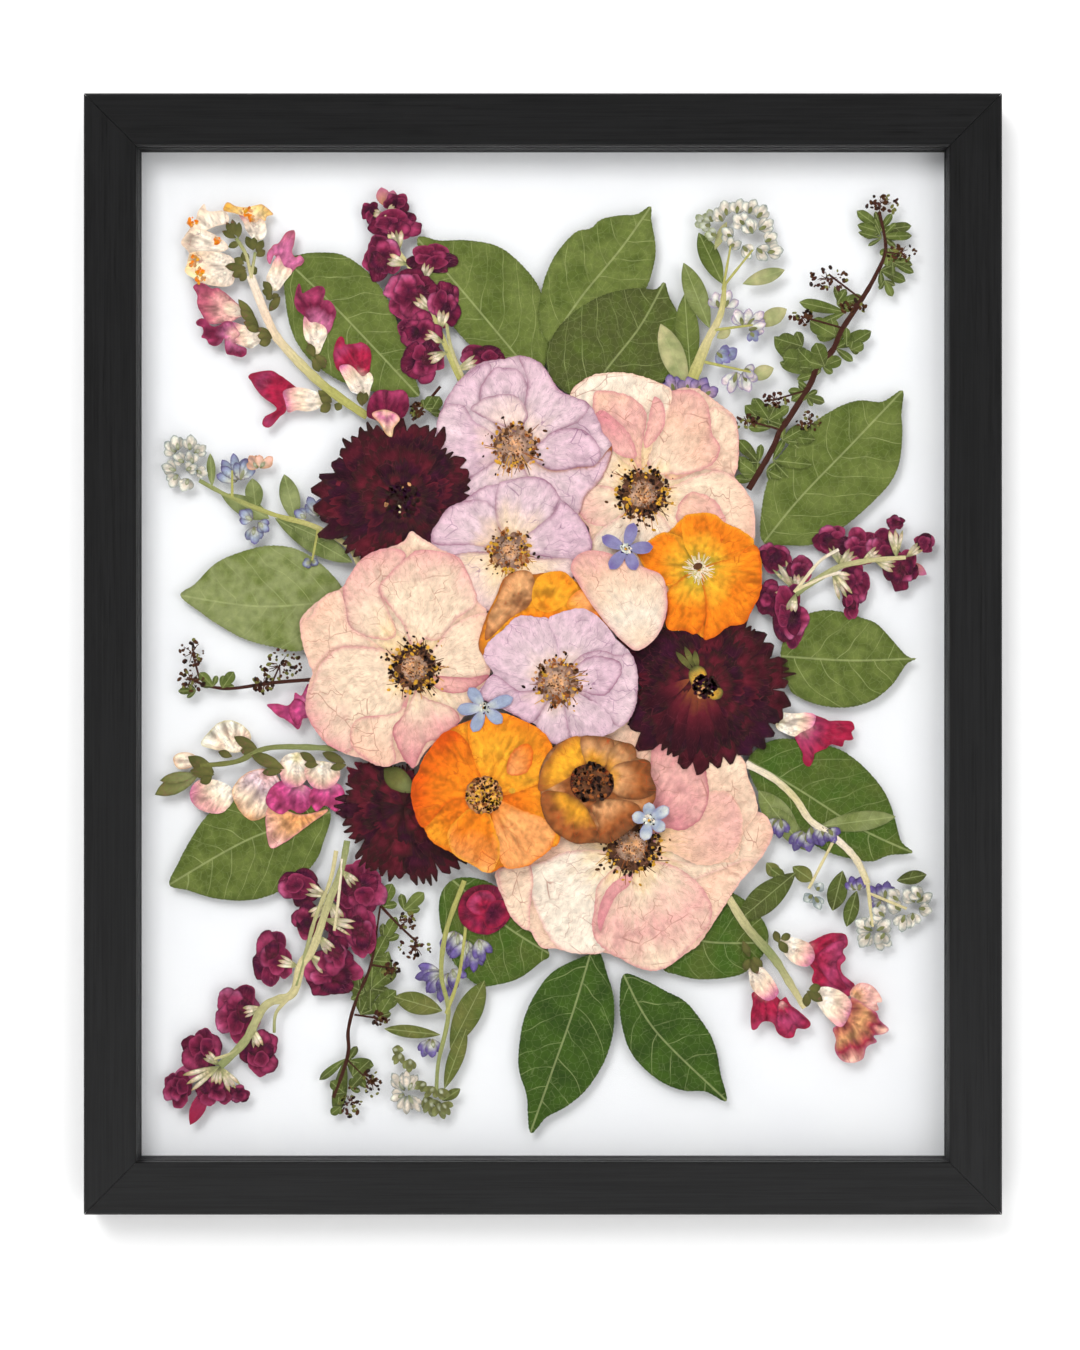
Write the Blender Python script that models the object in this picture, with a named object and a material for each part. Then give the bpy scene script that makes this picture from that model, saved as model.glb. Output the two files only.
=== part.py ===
"""A pressed flower frame: dried flowers, leaves and twigs held between two panes of glass in a black
wooden frame, with a white board behind them.

It faces -Y, with +X to the right and +Z up. The origin is the middle of the back panel's rear face.
"""

import math

import bmesh
import bpy
from mathutils import Vector
from mathutils.geometry import delaunay_2d_cdt, intersect_point_line

MM = 0.001
GAP = 0.3 * MM

# Frame
OPENING_WIDTH = 400 * MM
OPENING_HEIGHT = 500 * MM
RAIL_FACE = 26 * MM
FRAME_DEPTH = 26 * MM
LIP_DEPTH = 3 * MM
REBATE = 7 * MM
ARRIS = 0.7 * MM
MITRE_GAP = 0.15 * MM

# What the rebate holds, from the front
GLASS = 2 * MM
BOARD = 2 * MM
BACK_PANEL = 3 * MM
EDGE_PLAY = 0.5 * MM

# Dried pieces lie on each other in levels
PIECE_RIM = 0.2 * MM
PIECE_CROWN = 0.35 * MM
LEVEL = PIECE_CROWN + GAP
LEVELS = 14

# Steel hanger with a toothed edge, across the back of the top rail
HANGER_LENGTH = 46 * MM
HANGER_HEIGHT = 9 * MM
HANGER_PLATE = 0.8 * MM
HANGER_FOOT = 6 * MM
HANGER_SLOPE = 3 * MM
HANGER_RISE = 1.4 * MM
TOOTH = 1.4 * MM
TEETH = 9

# Depths along Y
FRONT = -FRAME_DEPTH
LIP_BACK = FRONT + LIP_DEPTH
FRONT_GLASS_BACK = LIP_BACK + GAP + GLASS
REAR_GLASS_FRONT = FRONT_GLASS_BACK + GAP + LEVELS * LEVEL
REAR_GLASS_BACK = REAR_GLASS_FRONT + GLASS
PANEL_FRONT = -BACK_PANEL
BOARD_BACK = PANEL_FRONT - GAP
BOARD_FRONT = BOARD_BACK - BOARD

# Places of the dried pieces are read in pixels of the 1080 x 1350 picture, seen square on
PX_PER_MM = 2.013
MIDDLE_PX = Vector((542.5, 653.5))

# Sampling for the test of which pieces lie on each other
CELL_MM = 1.6
SAMPLE_MM = 0.7

LEAF_GREEN = (0.13, 0.21, 0.045)
DARK_GREEN = (0.07, 0.15, 0.02)
PEACH = (0.95, 0.72, 0.52)
LILAC = (0.68, 0.50, 0.63)
ORANGE = (0.90, 0.28, 0.03)
OCHRE = (0.48, 0.25, 0.07)
BURGUNDY = (0.05, 0.005, 0.012)
MAROON = (0.14, 0.01, 0.04)
CRIMSON = (0.42, 0.03, 0.12)
CREAM = (0.85, 0.76, 0.45)
PALE_BLUE = (0.62, 0.72, 0.85)
SKY_BLUE = (0.22, 0.33, 0.75)
BARK = (0.06, 0.02, 0.015)

# Leaves: outline, then the ends of the midrib
LEAVES = (
    ("leaf_1", LEAF_GREEN, "284,262 300,255 330,257 355,270 375,290 390,315 405,350 418,393 380,395 "
     "330,380 298,355 285,320", "284,262 418,393"),
    ("leaf_2", LEAF_GREEN, "417,238 440,240 470,240 500,247 525,268 540,290 548,320 548,352 535,378 "
     "505,366 470,345 443,312 427,275", "417,238 535,378"),
    ("leaf_3", LEAF_GREEN, "650,206 622,210 600,218 590,234 575,232 555,255 541,290 538,320 550,342 "
     "590,335 625,315 645,290 655,250 652,228", "650,206 550,342"),
    ("leaf_4", DARK_GREEN, "664,282 645,290 610,292 585,300 553,335 549,362 560,390 590,402 630,397 "
     "662,382 680,358 678,325 670,298", "664,282 580,398"),
    ("leaf_5", LEAF_GREEN, "902,390 882,401 858,400 835,408 805,428 780,454 769,474 761,509 762,541 "
     "788,545 812,544 835,532 853,519 874,500 890,482 899,462 902,433 901,414", "902,390 762,541"),
    ("leaf_6", LEAF_GREEN, "916,658 899,646 886,629 864,618 841,611 815,610 798,618 785,636 780,656 "
     "790,692 811,701 836,707 856,705 878,694 894,681", "916,658 780,656"),
    ("leaf_7", LEAF_GREEN, "912,852 901,841 895,820 888,799 876,780 855,759 831,746 780,738 752,752 "
     "748,768 760,795 785,825 820,848 845,857 871,861 888,855", "912,852 750,765"),
    ("leaf_8", LEAF_GREEN, "180,595 195,583 215,563 239,552 269,545 300,550 330,572 347,600 335,630 "
     "302,650 275,647 245,639 219,625 199,611", "180,595 347,600"),
    ("leaf_9", LEAF_GREEN, "169,884 189,841 204,818 221,804 250,796 290,796 329,809 320,845 315,861 "
     "299,878 272,894 246,900 215,898 188,890", "169,884 329,811"),
    ("leaf_10", DARK_GREEN, "549,953 540,962 520,977 498,984 476,984 452,960 440,925 440,895 455,878 "
     "485,880 515,900 535,925", "549,953 455,880"),
    ("leaf_11", DARK_GREEN, "640,930 661,967 676,974 702,979 740,974 762,955 768,933 757,912 736,894 "
     "700,880 660,890 642,908", "768,940 642,915"),
    ("leaf_12", DARK_GREEN, "590,953 600,953 607,974 613,994 614,1016 612,1037 603,1063 586,1089 "
     "566,1106 546,1117 530,1132 526,1095 519,1072 518,1052 523,1020 535,993 554,970", "596,954 530,1132"),
    ("leaf_13", DARK_GREEN, "623,974 644,979 665,990 684,1000 699,1017 711,1036 717,1054 720,1072 "
     "726,1100 705,1091 684,1090 664,1083 645,1069 630,1051 622,1028 619,1003", "622,976 726,1100"),
)

# Open flowers: outline, centre and the radius of the disc at the centre
BLOOMS = (
    ("peach_rose_1", PEACH, "570,394 577,384 591,376 607,373 627,374 646,380 667,391 682,388 698,389 "
     "713,400 727,410 735,419 738,442 737,465 733,475 742,488 751,501 753,521 753,540 735,556 "
     "700,552 660,558 620,560 572,570 591,554 589,531 575,515 562,480 572,450 564,420", "646,491", 25),
    ("peach_rose_2", PEACH, "301,619 317,602 340,589 349,579 361,566 369,555 390,547 404,541 411,531 "
     "422,538 442,550 454,555 465,568 472,582 477,600 487,612 479,643 494,671 460,721 442,736 "
     "426,750 415,766 404,761 390,764 376,764 361,757 344,752 322,734 310,720 306,702 310,680 "
     "313,671 306,652 302,636", "414,667", 25),
    ("peach_rose_3", PEACH, "495,871 506,906 515,921 530,931 540,946 556,948 583,953 599,951 619,957 "
     "636,966 652,970 657,964 670,964 680,956 700,941 732,892 744,876 757,861 771,838 771,826 "
     "764,814 756,809 754,793 747,775 742,758 715,735 680,722 650,720 612,742 575,780 545,830 "
     "520,862", "631,846", 25),
    ("peach_petal", PEACH, "568,571 610,575 666,583 666,601 657,631 646,647 632,651 618,639 605,619 "
     "589,590", "628,608", 8),
    ("lilac_rose_1", LILAC, "436,430 443,406 454,387 463,377 472,368 486,361 504,359 519,356 535,360 "
     "545,369 558,389 573,397 588,404 597,418 602,432 611,444 610,459 600,478 585,496 577,514 "
     "550,520 515,530 480,520 455,500 446,465", "514,447", 20),
    ("lilac_rose_2", LILAC, "431,537 437,524 446,510 461,502 483,487 499,484 519,478 535,477 548,482 "
     "558,496 574,511 587,530 591,550 573,560 568,585 545,600 509,612 470,604 442,580", "509,551", 20),
    ("lilac_rose_3", LILAC, "485,660 487,644 502,630 518,616 537,617 548,619 561,612 579,608 591,612 "
     "602,621 614,637 630,653 637,674 634,708 620,726 604,735 580,742 552,742 536,724 514,714 "
     "480,696 479,689 493,674", "557,682", 20),
    ("orange_poppy_1", ORANGE, "637,555 649,540 667,532 682,518 698,513 713,514 725,523 742,531 "
     "753,543 760,558 761,576 759,593 751,610 743,623 728,626 716,635 703,638 696,633 683,630 "
     "670,630 665,623 667,608 666,585", "698,568", 14),
    ("orange_poppy_2", ORANGE, "412,783 418,771 427,752 448,730 471,719 500,712 521,719 541,730 "
     "552,746 558,770 560,835 550,847 537,858 524,865 504,865 490,871 473,864 455,853 433,841 "
     "424,826 413,804", "486,794", 20),
    ("orange_poppy_3", OCHRE, "480,651 484,622 496,596 504,578 521,570 532,574 561,571 573,580 "
     "589,590 604,615 612,645 598,668 560,675 510,672", "545,625", 14),
    ("orange_poppy_4", OCHRE, "539,783 541,765 552,747 570,737 596,735 614,739 630,744 636,756 "
     "648,760 650,774 655,790 650,805 622,834 597,841 578,841 559,834 546,818", "591,781", 21),
)

# Toothed dark blooms: the tips of their florets, centre and disc radius
SPIKED_BLOOMS = (
    ("burgundy_bloom_1", BURGUNDY, "345,435 370,421 407,418 447,429 467,449 477,488 472,515 450,545 "
     "420,560 390,568 361,562 330,540 315,520 313,488 324,463", "402,495", 20),
    ("burgundy_bloom_2", BURGUNDY, "631,658 625,690 625,724 653,744 673,762 690,770 716,768 736,759 "
     "762,741 785,706 792,674 776,645 749,615 715,628 680,632 650,640", "706,690", 22),
    ("burgundy_bloom_3", BURGUNDY, "356,756 340,768 333,801 336,820 344,839 349,853 363,869 384,876 "
     "410,885 430,881 458,876 467,862 460,835 446,805 425,778 400,762", "402,820", 16),
)

# Sprays: stems as a width and a line, rounded florets as the box that each fills (left, right, top,
# bottom), and leaves as base, tip and width
SPRAYS = (
    ("stock_1", MAROON,
     ((5, "385,215 391,240 411,269 426,296 445,345 460,380"),),
     "367,423,209,238 362,401,232,279 406,455,244,272 384,438,266,320 428,461,283,327 "
     "397,443,312,350 404,444,340,382 452,504,343,372",
     "385,214 383,186,15 372,222 366,204,14 398,216 402,192,16"),
    ("stock_2", MAROON,
     ((6, "795,593 815,580 840,562 870,560 905,557"),),
     "758,813,544,580 811,878,525,558 836,873,535,616 868,917,530,590 753,805,578,648",
     "890,548 892,514,14 905,552 934,542,12 905,562 927,574,11"),
    ("stock_3", MAROON,
     ((8, "347,840 341,869 328,903 313,947 301,964 292,993 265,1005 245,1040 220,1065"),),
     "278,322,867,905 291,322,903,938 252,293,931,985 325,384,861,955 300,362,955,995 "
     "215,270,982,1045 236,280,1025,1074 182,231,1027,1075 197,245,1066,1105",
     "205,1062 161,1090,24 208,1085 190,1125,15"),
    ("snapdragon_1", CREAM,
     ((8, "251,274 265,305 281,344 298,366 320,384 340,401 365,417"),
      (4, "251,278 248,250 252,225"), (4, "251,276 238,262")),
     "180,230,204,287 223,273,206,240 266,303,231,300 294,337,283,325 191,262,287,345 "
     "249,325,369,425 325,372,336,400",
     "251,276 226,221,14 259,262 262,240,12 300,358 318,318,12 262,330 236,300,14"),
    ("snapdragon_2", CREAM,
     ((5, "236,761 271,747 338,748"),),
     "186,214,752,780 201,252,720,760 173,200,750,770 190,236,775,812 228,283,757,820 "
     "268,318,765,814 306,343,752,809",
     "200,772 154,794,18 250,755 284,768,15"),
    ("snapdragon_3", CRIMSON,
     ((6, "728,897 747,927 773,957 789,982 804,1007"),),
     "750,810,990,1039 805,854,931,996 835,888,983,1061",
     "750,950 785,1010,20 775,945 820,955,22 800,990 858,1015,30"),
    ("snapdragon_4", CRIMSON, (), "795,854,714,766", "772,724 822,738,26"),
    ("snapdragon_5", CRIMSON, (), "267,312,684,729", "312,700 285,712,20"),
    ("snapdragon_6", MAROON, (), "367,409,389,437", "409,420 385,410,24"),
    ("snapdragon_7", CRIMSON, (), "457,505,883,934 475,513,890,928", "450,905 480,910,20"),
    ("white_sprig_1", PALE_BLUE,
     ((6, "724,282 706,350 692,378"), (3, "722,300 752,250"), (3, "712,340 752,325"),
      (3, "697,370 762,370"), (3, "690,382 672,378")),
     "700,786,199,262 714,739,285,317 739,766,307,342 704,742,350,379 727,750,366,395 "
     "667,715,370,399",
     "722,290 694,236,18 712,330 682,266,18 704,352 676,298,16 692,380 652,326,16 "
     "742,272 785,274,15 748,326 786,314,16 750,372 775,370,14"),
    ("white_sprig_2", PALE_BLUE,
     ((6, "190,470 229,496 273,514 314,526 348,546 360,567"), (3, "232,497 232,470"),
      (3, "318,528 312,560")),
     "158,205,431,492 217,247,451,481 236,269,506,546 306,332,494,526 245,273,449,475",
     "221,492 269,516,18 256,510 254,474,16 296,522 286,474,18 275,515 352,562,22 "
     "212,486 208,452,9 240,500 262,470,10"),
    ("white_sprig_3", PALE_BLUE,
     ((5, "464,880 446,930 443,973 446,1013 438,1062 436,1100"), (4, "466,921 458,975 447,1010")),
     "413,457,971,1004 444,464,935,965 462,486,941,972 417,440,1038,1059 389,420,1071,1117 "
     "416,453,1088,1117",
     "448,1040 484,980,22 445,1010 392,996,20 442,1034 382,1028,13 440,1085 464,1026,14 "
     "440,1060 388,1050,16"),
    ("white_sprig_4", PALE_BLUE,
     ((7, "745,763 773,778 794,797 810,820 834,837 855,858 867,883 873,930"),
      (3, "858,868 885,896"), (3, "834,838 806,888"), (3, "867,900 905,905")),
     "772,794,822,843 790,816,841,861 813,836,833,857 846,864,873,895 867,890,877,915 "
     "803,825,880,909 847,897,913,947 891,934,883,929",
     "818,828 895,816,18 855,865 738,920,24 812,830 760,790,20 792,848 812,880,14"),
    ("twig_1", BARK,
     ((4, "879,213 885,249 874,277 858,304 841,330 832,350 818,364 810,383 802,396 789,417 780,430 "
       "770,452 748,489"), (3, "862,300 828,274"), (3, "843,328 800,316"), (3, "806,390 772,400"),
      (3, "782,430 746,420")),
     "863,898,194,216 883,916,243,262 806,850,266,291 786,813,308,325 760,790,391,409 "
     "731,764,411,430 796,822,411,431",
     "880,228 852,213,12 880,232 911,222,14 882,235 856,235,9 880,252 911,269,14 "
     "868,285 904,288,14 838,312 862,290,16 836,318 800,297,14 836,340 811,318,16 "
     "818,362 782,328,16 835,345 870,336,14 822,364 842,360,12 805,392 826,396,12 "
     "784,428 748,402,15 772,448 814,443,15 766,462 811,459,12 760,470 738,440,16 "
     "756,476 738,454,13 762,462 780,482,9"),
    ("twig_2", BARK,
     ((4, "190,676 230,688 275,682 313,679"), (3, "200,678 192,652"), (3, "272,682 280,664")),
     "179,205,639,665 178,206,666,691 257,302,649,684 250,276,673,694",
     "226,688 202,676,14 222,686 238,672,12"),
    ("twig_3", BARK,
     ((4, "380,905 376,933 370,966 356,999 348,1029 348,1052 340,1079 333,1097"),
      (3, "380,905 399,925 416,941"), (3, "370,964 392,968"), (3, "354,1014 380,1018"),
      (3, "346,1058 372,1084")),
     "396,416,909,930 398,433,936,958 383,402,960,979 371,392,1008,1026 360,382,1066,1097 "
     "337,361,1086,1117",
     "358,1010 398,960,20 385,908 419,890,15 345,1060 330,1112,16 348,1050 374,1062,12"),
    ("twig_4", DARK_GREEN,
     ((4, "412,420 440,386"),),
     "424,442,396,416 410,428,400,420 426,444,384,400", ""),
)

# Five-petalled stars: the tips of their petals and the centre
STARS = (
    ("blue_star_1", SKY_BLUE, "602,532 633,523 651,547 638,572 606,570", "625,549"),
    ("blue_star_2", SKY_BLUE, "470,688 512,697 502,722 473,730 458,709", "484,707"),
    ("blue_star_3", PALE_BLUE, "645,802 669,809 664,829 643,839 632,815", "648,819"),
)
STAR_PETAL_PX = 12
STALK_PX = 4

# Every dried piece from the rear pane to the front one
PILE = (
    "leaf_1 leaf_2 leaf_3 leaf_5 leaf_6 leaf_7 leaf_8 leaf_9 leaf_10 leaf_11 leaf_12 leaf_13 leaf_4 "
    "twig_1 twig_2 twig_3 snapdragon_5 white_sprig_1 white_sprig_2 white_sprig_3 white_sprig_4 "
    "twig_4 stock_1 stock_2 stock_3 snapdragon_1 snapdragon_2 snapdragon_3 snapdragon_4 "
    "snapdragon_7 peach_rose_1 peach_rose_3 burgundy_bloom_3 lilac_rose_1 burgundy_bloom_2 "
    "burgundy_bloom_1 orange_poppy_1 lilac_rose_2 snapdragon_6 peach_rose_2 orange_poppy_3 "
    "lilac_rose_3 peach_petal orange_poppy_2 orange_poppy_4 blue_star_1 blue_star_2 blue_star_3"
).split()


def clear_scene():
    """Remove whatever the file opened with."""
    for obj in list(bpy.data.objects):
        bpy.data.objects.remove(obj, do_unlink=True)


def material(name, colour, roughness, metallic=0.0, transmission=0.0):
    """A plain Principled finish."""
    made = bpy.data.materials.new(name)
    made.use_nodes = True
    shader = made.node_tree.nodes["Principled BSDF"]
    shader.inputs["Base Color"].default_value = (*colour, 1)
    shader.inputs["Roughness"].default_value = roughness
    shader.inputs["Metallic"].default_value = metallic
    shader.inputs["Transmission Weight"].default_value = transmission
    return made


def add_object(name, bm, finish):
    """Turn a bmesh into a named object with its faces pointing out."""
    bmesh.ops.recalc_face_normals(bm, faces=bm.faces)
    mesh = bpy.data.meshes.new(name)
    bm.to_mesh(mesh)
    bm.free()
    mesh.materials.append(finish)
    obj = bpy.data.objects.new(name, mesh)
    bpy.context.collection.objects.link(obj)
    return obj


def add_slab(name, width, height, front, back, finish):
    """A flat sheet between two depths."""
    bm = bmesh.new()
    bmesh.ops.create_cube(bm, size=1)
    bmesh.ops.scale(bm, vec=(width, back - front, height), verts=bm.verts)
    bmesh.ops.translate(bm, vec=(0, (front + back) / 2, 0), verts=bm.verts)
    return add_object(name, bm, finish)


def add_ring(name, front, back, finish):
    """A square-edged strip round the opening, inside the rebate, between two depths."""
    outward = REBATE - EDGE_PLAY
    corners = []
    for extra in (0, outward):
        half_width = OPENING_WIDTH / 2 + extra
        half_height = OPENING_HEIGHT / 2 + extra
        corners.append([(x * half_width, z * half_height) for x, z in ((-1, -1), (1, -1), (1, 1), (-1, 1))])
    bm = bmesh.new()
    inner, outer = ([bm.verts.new((x, front, z)) for x, z in loop] for loop in corners)
    face_ring = [
        bm.faces.new((inner[i], inner[i - 1], outer[i - 1], outer[i])) for i in range(len(inner))
    ]
    push_back(bm, face_ring, back)
    return add_object(name, bm, finish)


def push_back(bm, faces, back):
    """Extrude a sheet of faces to a flat back."""
    made = bmesh.ops.extrude_face_region(bm, geom=faces, use_keep_orig=True)
    for item in made["geom"]:
        if isinstance(item, bmesh.types.BMVert):
            item.co.y = back


def rail_section():
    """The section of a rail: how far out from the opening, and how deep."""
    return (
        (0, FRONT + ARRIS),
        (ARRIS, FRONT),
        (RAIL_FACE - ARRIS, FRONT),
        (RAIL_FACE, FRONT + ARRIS),
        (RAIL_FACE, 0),
        (REBATE, 0),
        (REBATE, LIP_BACK),
        (0, LIP_BACK),
    )


def add_rail(name, length, across, turn, finish):
    """A mitred rail: length is the opening's side that it runs along, across the distance to it."""
    bm = bmesh.new()
    ends = []
    for side in (-1, 1):
        ring = [
            bm.verts.new((side * (length / 2 + out - MITRE_GAP), depth, across + out))
            for out, depth in rail_section()
        ]
        bm.faces.new(ring)
        ends.append(ring)
    bmesh.ops.bridge_loops(bm, edges=[edge for edge in bm.edges])
    rail = add_object(name, bm, finish)
    rail.rotation_euler = (0, turn, 0)
    return rail


def add_hanger(finish):
    """A strip of steel with two feet and a raised middle whose lower edge is toothed."""
    half = HANGER_LENGTH / 2
    raised = half - HANGER_FOOT - HANGER_SLOPE
    step = 2 * raised / (2 * TEETH)
    stations = [(-half, 0, 0), (-half + HANGER_FOOT, 0, 0)]
    for i in range(2 * TEETH + 1):
        stations.append((-raised + i * step, HANGER_RISE, TOOTH * (i % 2)))
    stations += [(half - HANGER_FOOT, 0, 0), (half, 0, 0)]
    middle = OPENING_HEIGHT / 2 + REBATE + (RAIL_FACE - REBATE) / 2
    bm = bmesh.new()
    rings = []
    for x, rise, notch in stations:
        near = GAP + rise
        low = middle - HANGER_HEIGHT / 2 + notch
        high = middle + HANGER_HEIGHT / 2
        corners = ((near, low), (near, high), (near + HANGER_PLATE, high), (near + HANGER_PLATE, low))
        rings.append([bm.verts.new((x, y, z)) for y, z in corners])
    for ring, following in zip(rings, rings[1:]):
        for i in range(len(ring)):
            bm.faces.new((ring[i - 1], ring[i], following[i], following[i - 1]))
    bm.faces.new(rings[0])
    bm.faces.new(rings[-1])
    return add_object("hanger", bm, finish)


def places(text):
    """Points of a list such as "12,30 14,36", in millimetres on the sheet."""
    pairs = (pair.split(",") for pair in text.split())
    return [on_sheet(float(x), float(y)) for x, y in pairs]


def on_sheet(x, y):
    """A pixel of the picture as millimetres right of and above the middle of the opening."""
    return Vector((x - MIDDLE_PX.x, MIDDLE_PX.y - y)) / PX_PER_MM


def numbers(text, count):
    """Rows of count numbers from a list of rows such as "1,2,3,4 5,6,7,8"."""
    flat = [float(word) for word in text.replace(",", " ").split()]
    return [flat[i:i + count] for i in range(0, len(flat), count)]


def rounded(box, corners=6):
    """An oval outline that fills a box of the picture, and its middle."""
    left, right, top, bottom = box
    middle = on_sheet((left + right) / 2, (top + bottom) / 2)
    half_width = (right - left) / 2 / PX_PER_MM
    half_height = (bottom - top) / 2 / PX_PER_MM
    angles = [2 * math.pi * (i + 0.5) / corners for i in range(corners)]
    outline = [middle + Vector((half_width * math.cos(a), half_height * math.sin(a))) for a in angles]
    return outline, [middle]


def blade(base, tip, width):
    """A leaf or petal outline from its base to its tip, and a point of its midrib."""
    fullest = base.lerp(tip, 0.55)
    across = (tip - base).normalized().orthogonal() * width / 2
    return [base, fullest + across, tip, fullest - across], [fullest]


def strip(line, width):
    """The outline of a stem along a line."""
    right, left = [], []
    for i, point in enumerate(line):
        along = line[min(i + 1, len(line) - 1)] - line[max(i - 1, 0)]
        across = along.normalized().orthogonal() * width / 2
        right.append(point + across)
        left.append(point - across)
    return right + left[::-1]


def leaf_shape(outline, rib):
    """A leaf's outline, with a crown along its midrib."""
    base, tip = places(rib)
    return [places(outline)], [base.lerp(tip, t) for t in (0.2, 0.5, 0.8)], []


def bloom_shape(outline, centre, disc):
    """An open flower's outline, with a raised disc, a crown on each petal and a dip between two."""
    outline = places(outline)
    middle = places(centre)[0]
    radius = disc / PX_PER_MM
    turns = [2 * math.pi * i / 8 for i in range(8)]
    crowns = [middle + radius * Vector((math.cos(a), math.sin(a))) for a in turns]
    dips = []
    reach = [(point - middle).length for point in outline]
    for i, point in enumerate(outline):
        before, after = reach[i - 1], reach[(i + 1) % len(reach)]
        if reach[i] > before and reach[i] >= after:
            crowns.append(middle.lerp(point, 0.7))
        elif reach[i] < before and reach[i] <= after:
            dips.append(middle.lerp(point, 0.7))
    return [outline], crowns, dips


def spiked_shape(tips, centre, disc):
    """A dark bloom: its outline runs in to a notch between each two tips."""
    middle = places(centre)[0]
    tips = places(tips)
    outline = []
    for i, tip in enumerate(tips):
        notch = tip.lerp(tips[(i + 1) % len(tips)], 0.5)
        outline += [tip, middle.lerp(notch, 0.84)]
    turns = [2 * math.pi * i / 8 for i in range(8)]
    crowns = [middle + disc / PX_PER_MM * Vector((math.cos(a), math.sin(a))) for a in turns]
    crowns += [middle.lerp(tip, 0.7) for tip in tips]
    return [outline], crowns, []


def nearest_on(lines, point):
    """The place on any of the lines that is nearest to a point."""
    found = []
    for line in lines:
        for start, end in zip(line, line[1:]):
            spot, share = intersect_point_line(point, start, end)
            spot = start.lerp(end, min(max(share, 0), 1))
            found.append(((spot - point).length, spot))
    return min(found, key=lambda item: item[0])[1]


def spray_shape(stems, florets, leaves):
    """Stems with rounded florets and leaves on them; a floret that stands off has a stalk."""
    lines = [places(line) for _, line in stems]
    outlines = [strip(line, width / PX_PER_MM) for line, (width, _) in zip(lines, stems)]
    crowns = []
    for box in numbers(florets, 4):
        outline, middle = rounded(box)
        if lines:
            root = nearest_on(lines, middle[0])
            if (root - middle[0]).length > min(box[1] - box[0], box[3] - box[2]) / 3 / PX_PER_MM:
                outlines.append(strip([middle[0], middle[0].lerp(root, 1.02)], STALK_PX / PX_PER_MM))
        outlines.append(outline)
        crowns += middle
    for base_x, base_y, tip_x, tip_y, width in numbers(leaves, 5):
        base, tip = on_sheet(base_x, base_y), on_sheet(tip_x, tip_y)
        if lines:
            base = tip.lerp(nearest_on(lines, base), 1.02)
        outline, middle = blade(base, tip, width / PX_PER_MM)
        outlines.append(outline)
        crowns += middle
    return outlines, crowns, []


def star_shape(tips, centre):
    """Narrow petals that cross the centre of a star."""
    middle = places(centre)[0]
    outlines = []
    for tip in places(tips):
        outlines.append(blade(middle.lerp(tip, -0.2), tip, STAR_PETAL_PX / PX_PER_MM)[0])
    return outlines, [middle], []


def sheet_of(outlines, crowns, dips):
    """The joined area of overlapping outlines as triangles, and the thickness at each point."""
    points, faces = [], []
    for outline in map(counterclockwise, outlines):
        faces.append(list(range(len(points), len(points) + len(outline))))
        points += outline
    first_crown = len(points)
    points = points + crowns + dips
    found, _, triangles, sources, _, owners = delaunay_2d_cdt(points, [], faces, 1, 1e-4)
    triangles = [tuple(t) for t, owner in zip(triangles, owners) if owner]
    rim = rim_edges(triangles)
    on_rim = {corner for edge in rim for corner in edge}
    thickness = []
    for i, source in enumerate(sources):
        crowned = any(first_crown <= s < first_crown + len(crowns) for s in source)
        thickness.append(PIECE_CROWN if crowned and i not in on_rim else PIECE_RIM)
    return found, triangles, thickness


def counterclockwise(outline):
    """The outline, turned round if it runs clockwise."""
    area = sum(a.cross(b) for a, b in zip(outline, outline[1:] + outline[:1]))
    return outline if area > 0 else outline[::-1]


def rim_edges(triangles):
    """Edges that only one triangle has."""
    seen = {}
    for triangle in triangles:
        for a, b in zip(triangle, triangle[1:] + triangle[:1]):
            seen.setdefault(frozenset((a, b)), []).append((a, b))
    return [uses[0] for uses in seen.values() if len(uses) == 1]


def footprint(points, triangles):
    """The squares of a fine grid that a sheet covers."""
    cells = set()
    for triangle in triangles:
        a, b, c = (points[i] for i in triangle)
        longest = max((a - b).length, (b - c).length, (c - a).length)
        steps = max(1, math.ceil(longest / SAMPLE_MM))
        for i in range(steps + 1):
            for j in range(steps + 1 - i):
                spot = a + (b - a) * (i / steps) + (c - a) * (j / steps)
                cells.add((math.floor(spot.x / CELL_MM), math.floor(spot.y / CELL_MM)))
    return cells


def widened(cells):
    """The squares and those round them."""
    return {(x + i, z + j) for x, z in cells for i in (-1, 0, 1) for j in (-1, 0, 1)}


def shapes():
    """Each dried piece's outlines, crowns, dips and colour, by name."""
    made = {}
    for name, colour, outline, rib in LEAVES:
        made[name] = leaf_shape(outline, rib), colour
    for name, colour, outline, centre, disc in BLOOMS:
        made[name] = bloom_shape(outline, centre, disc), colour
    for name, colour, tips, centre, disc in SPIKED_BLOOMS:
        made[name] = spiked_shape(tips, centre, disc), colour
    for name, colour, stems, florets, leaves in SPRAYS:
        made[name] = spray_shape(stems, florets, leaves), colour
    for name, colour, tips, centre in STARS:
        made[name] = star_shape(tips, centre), colour
    return made


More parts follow.
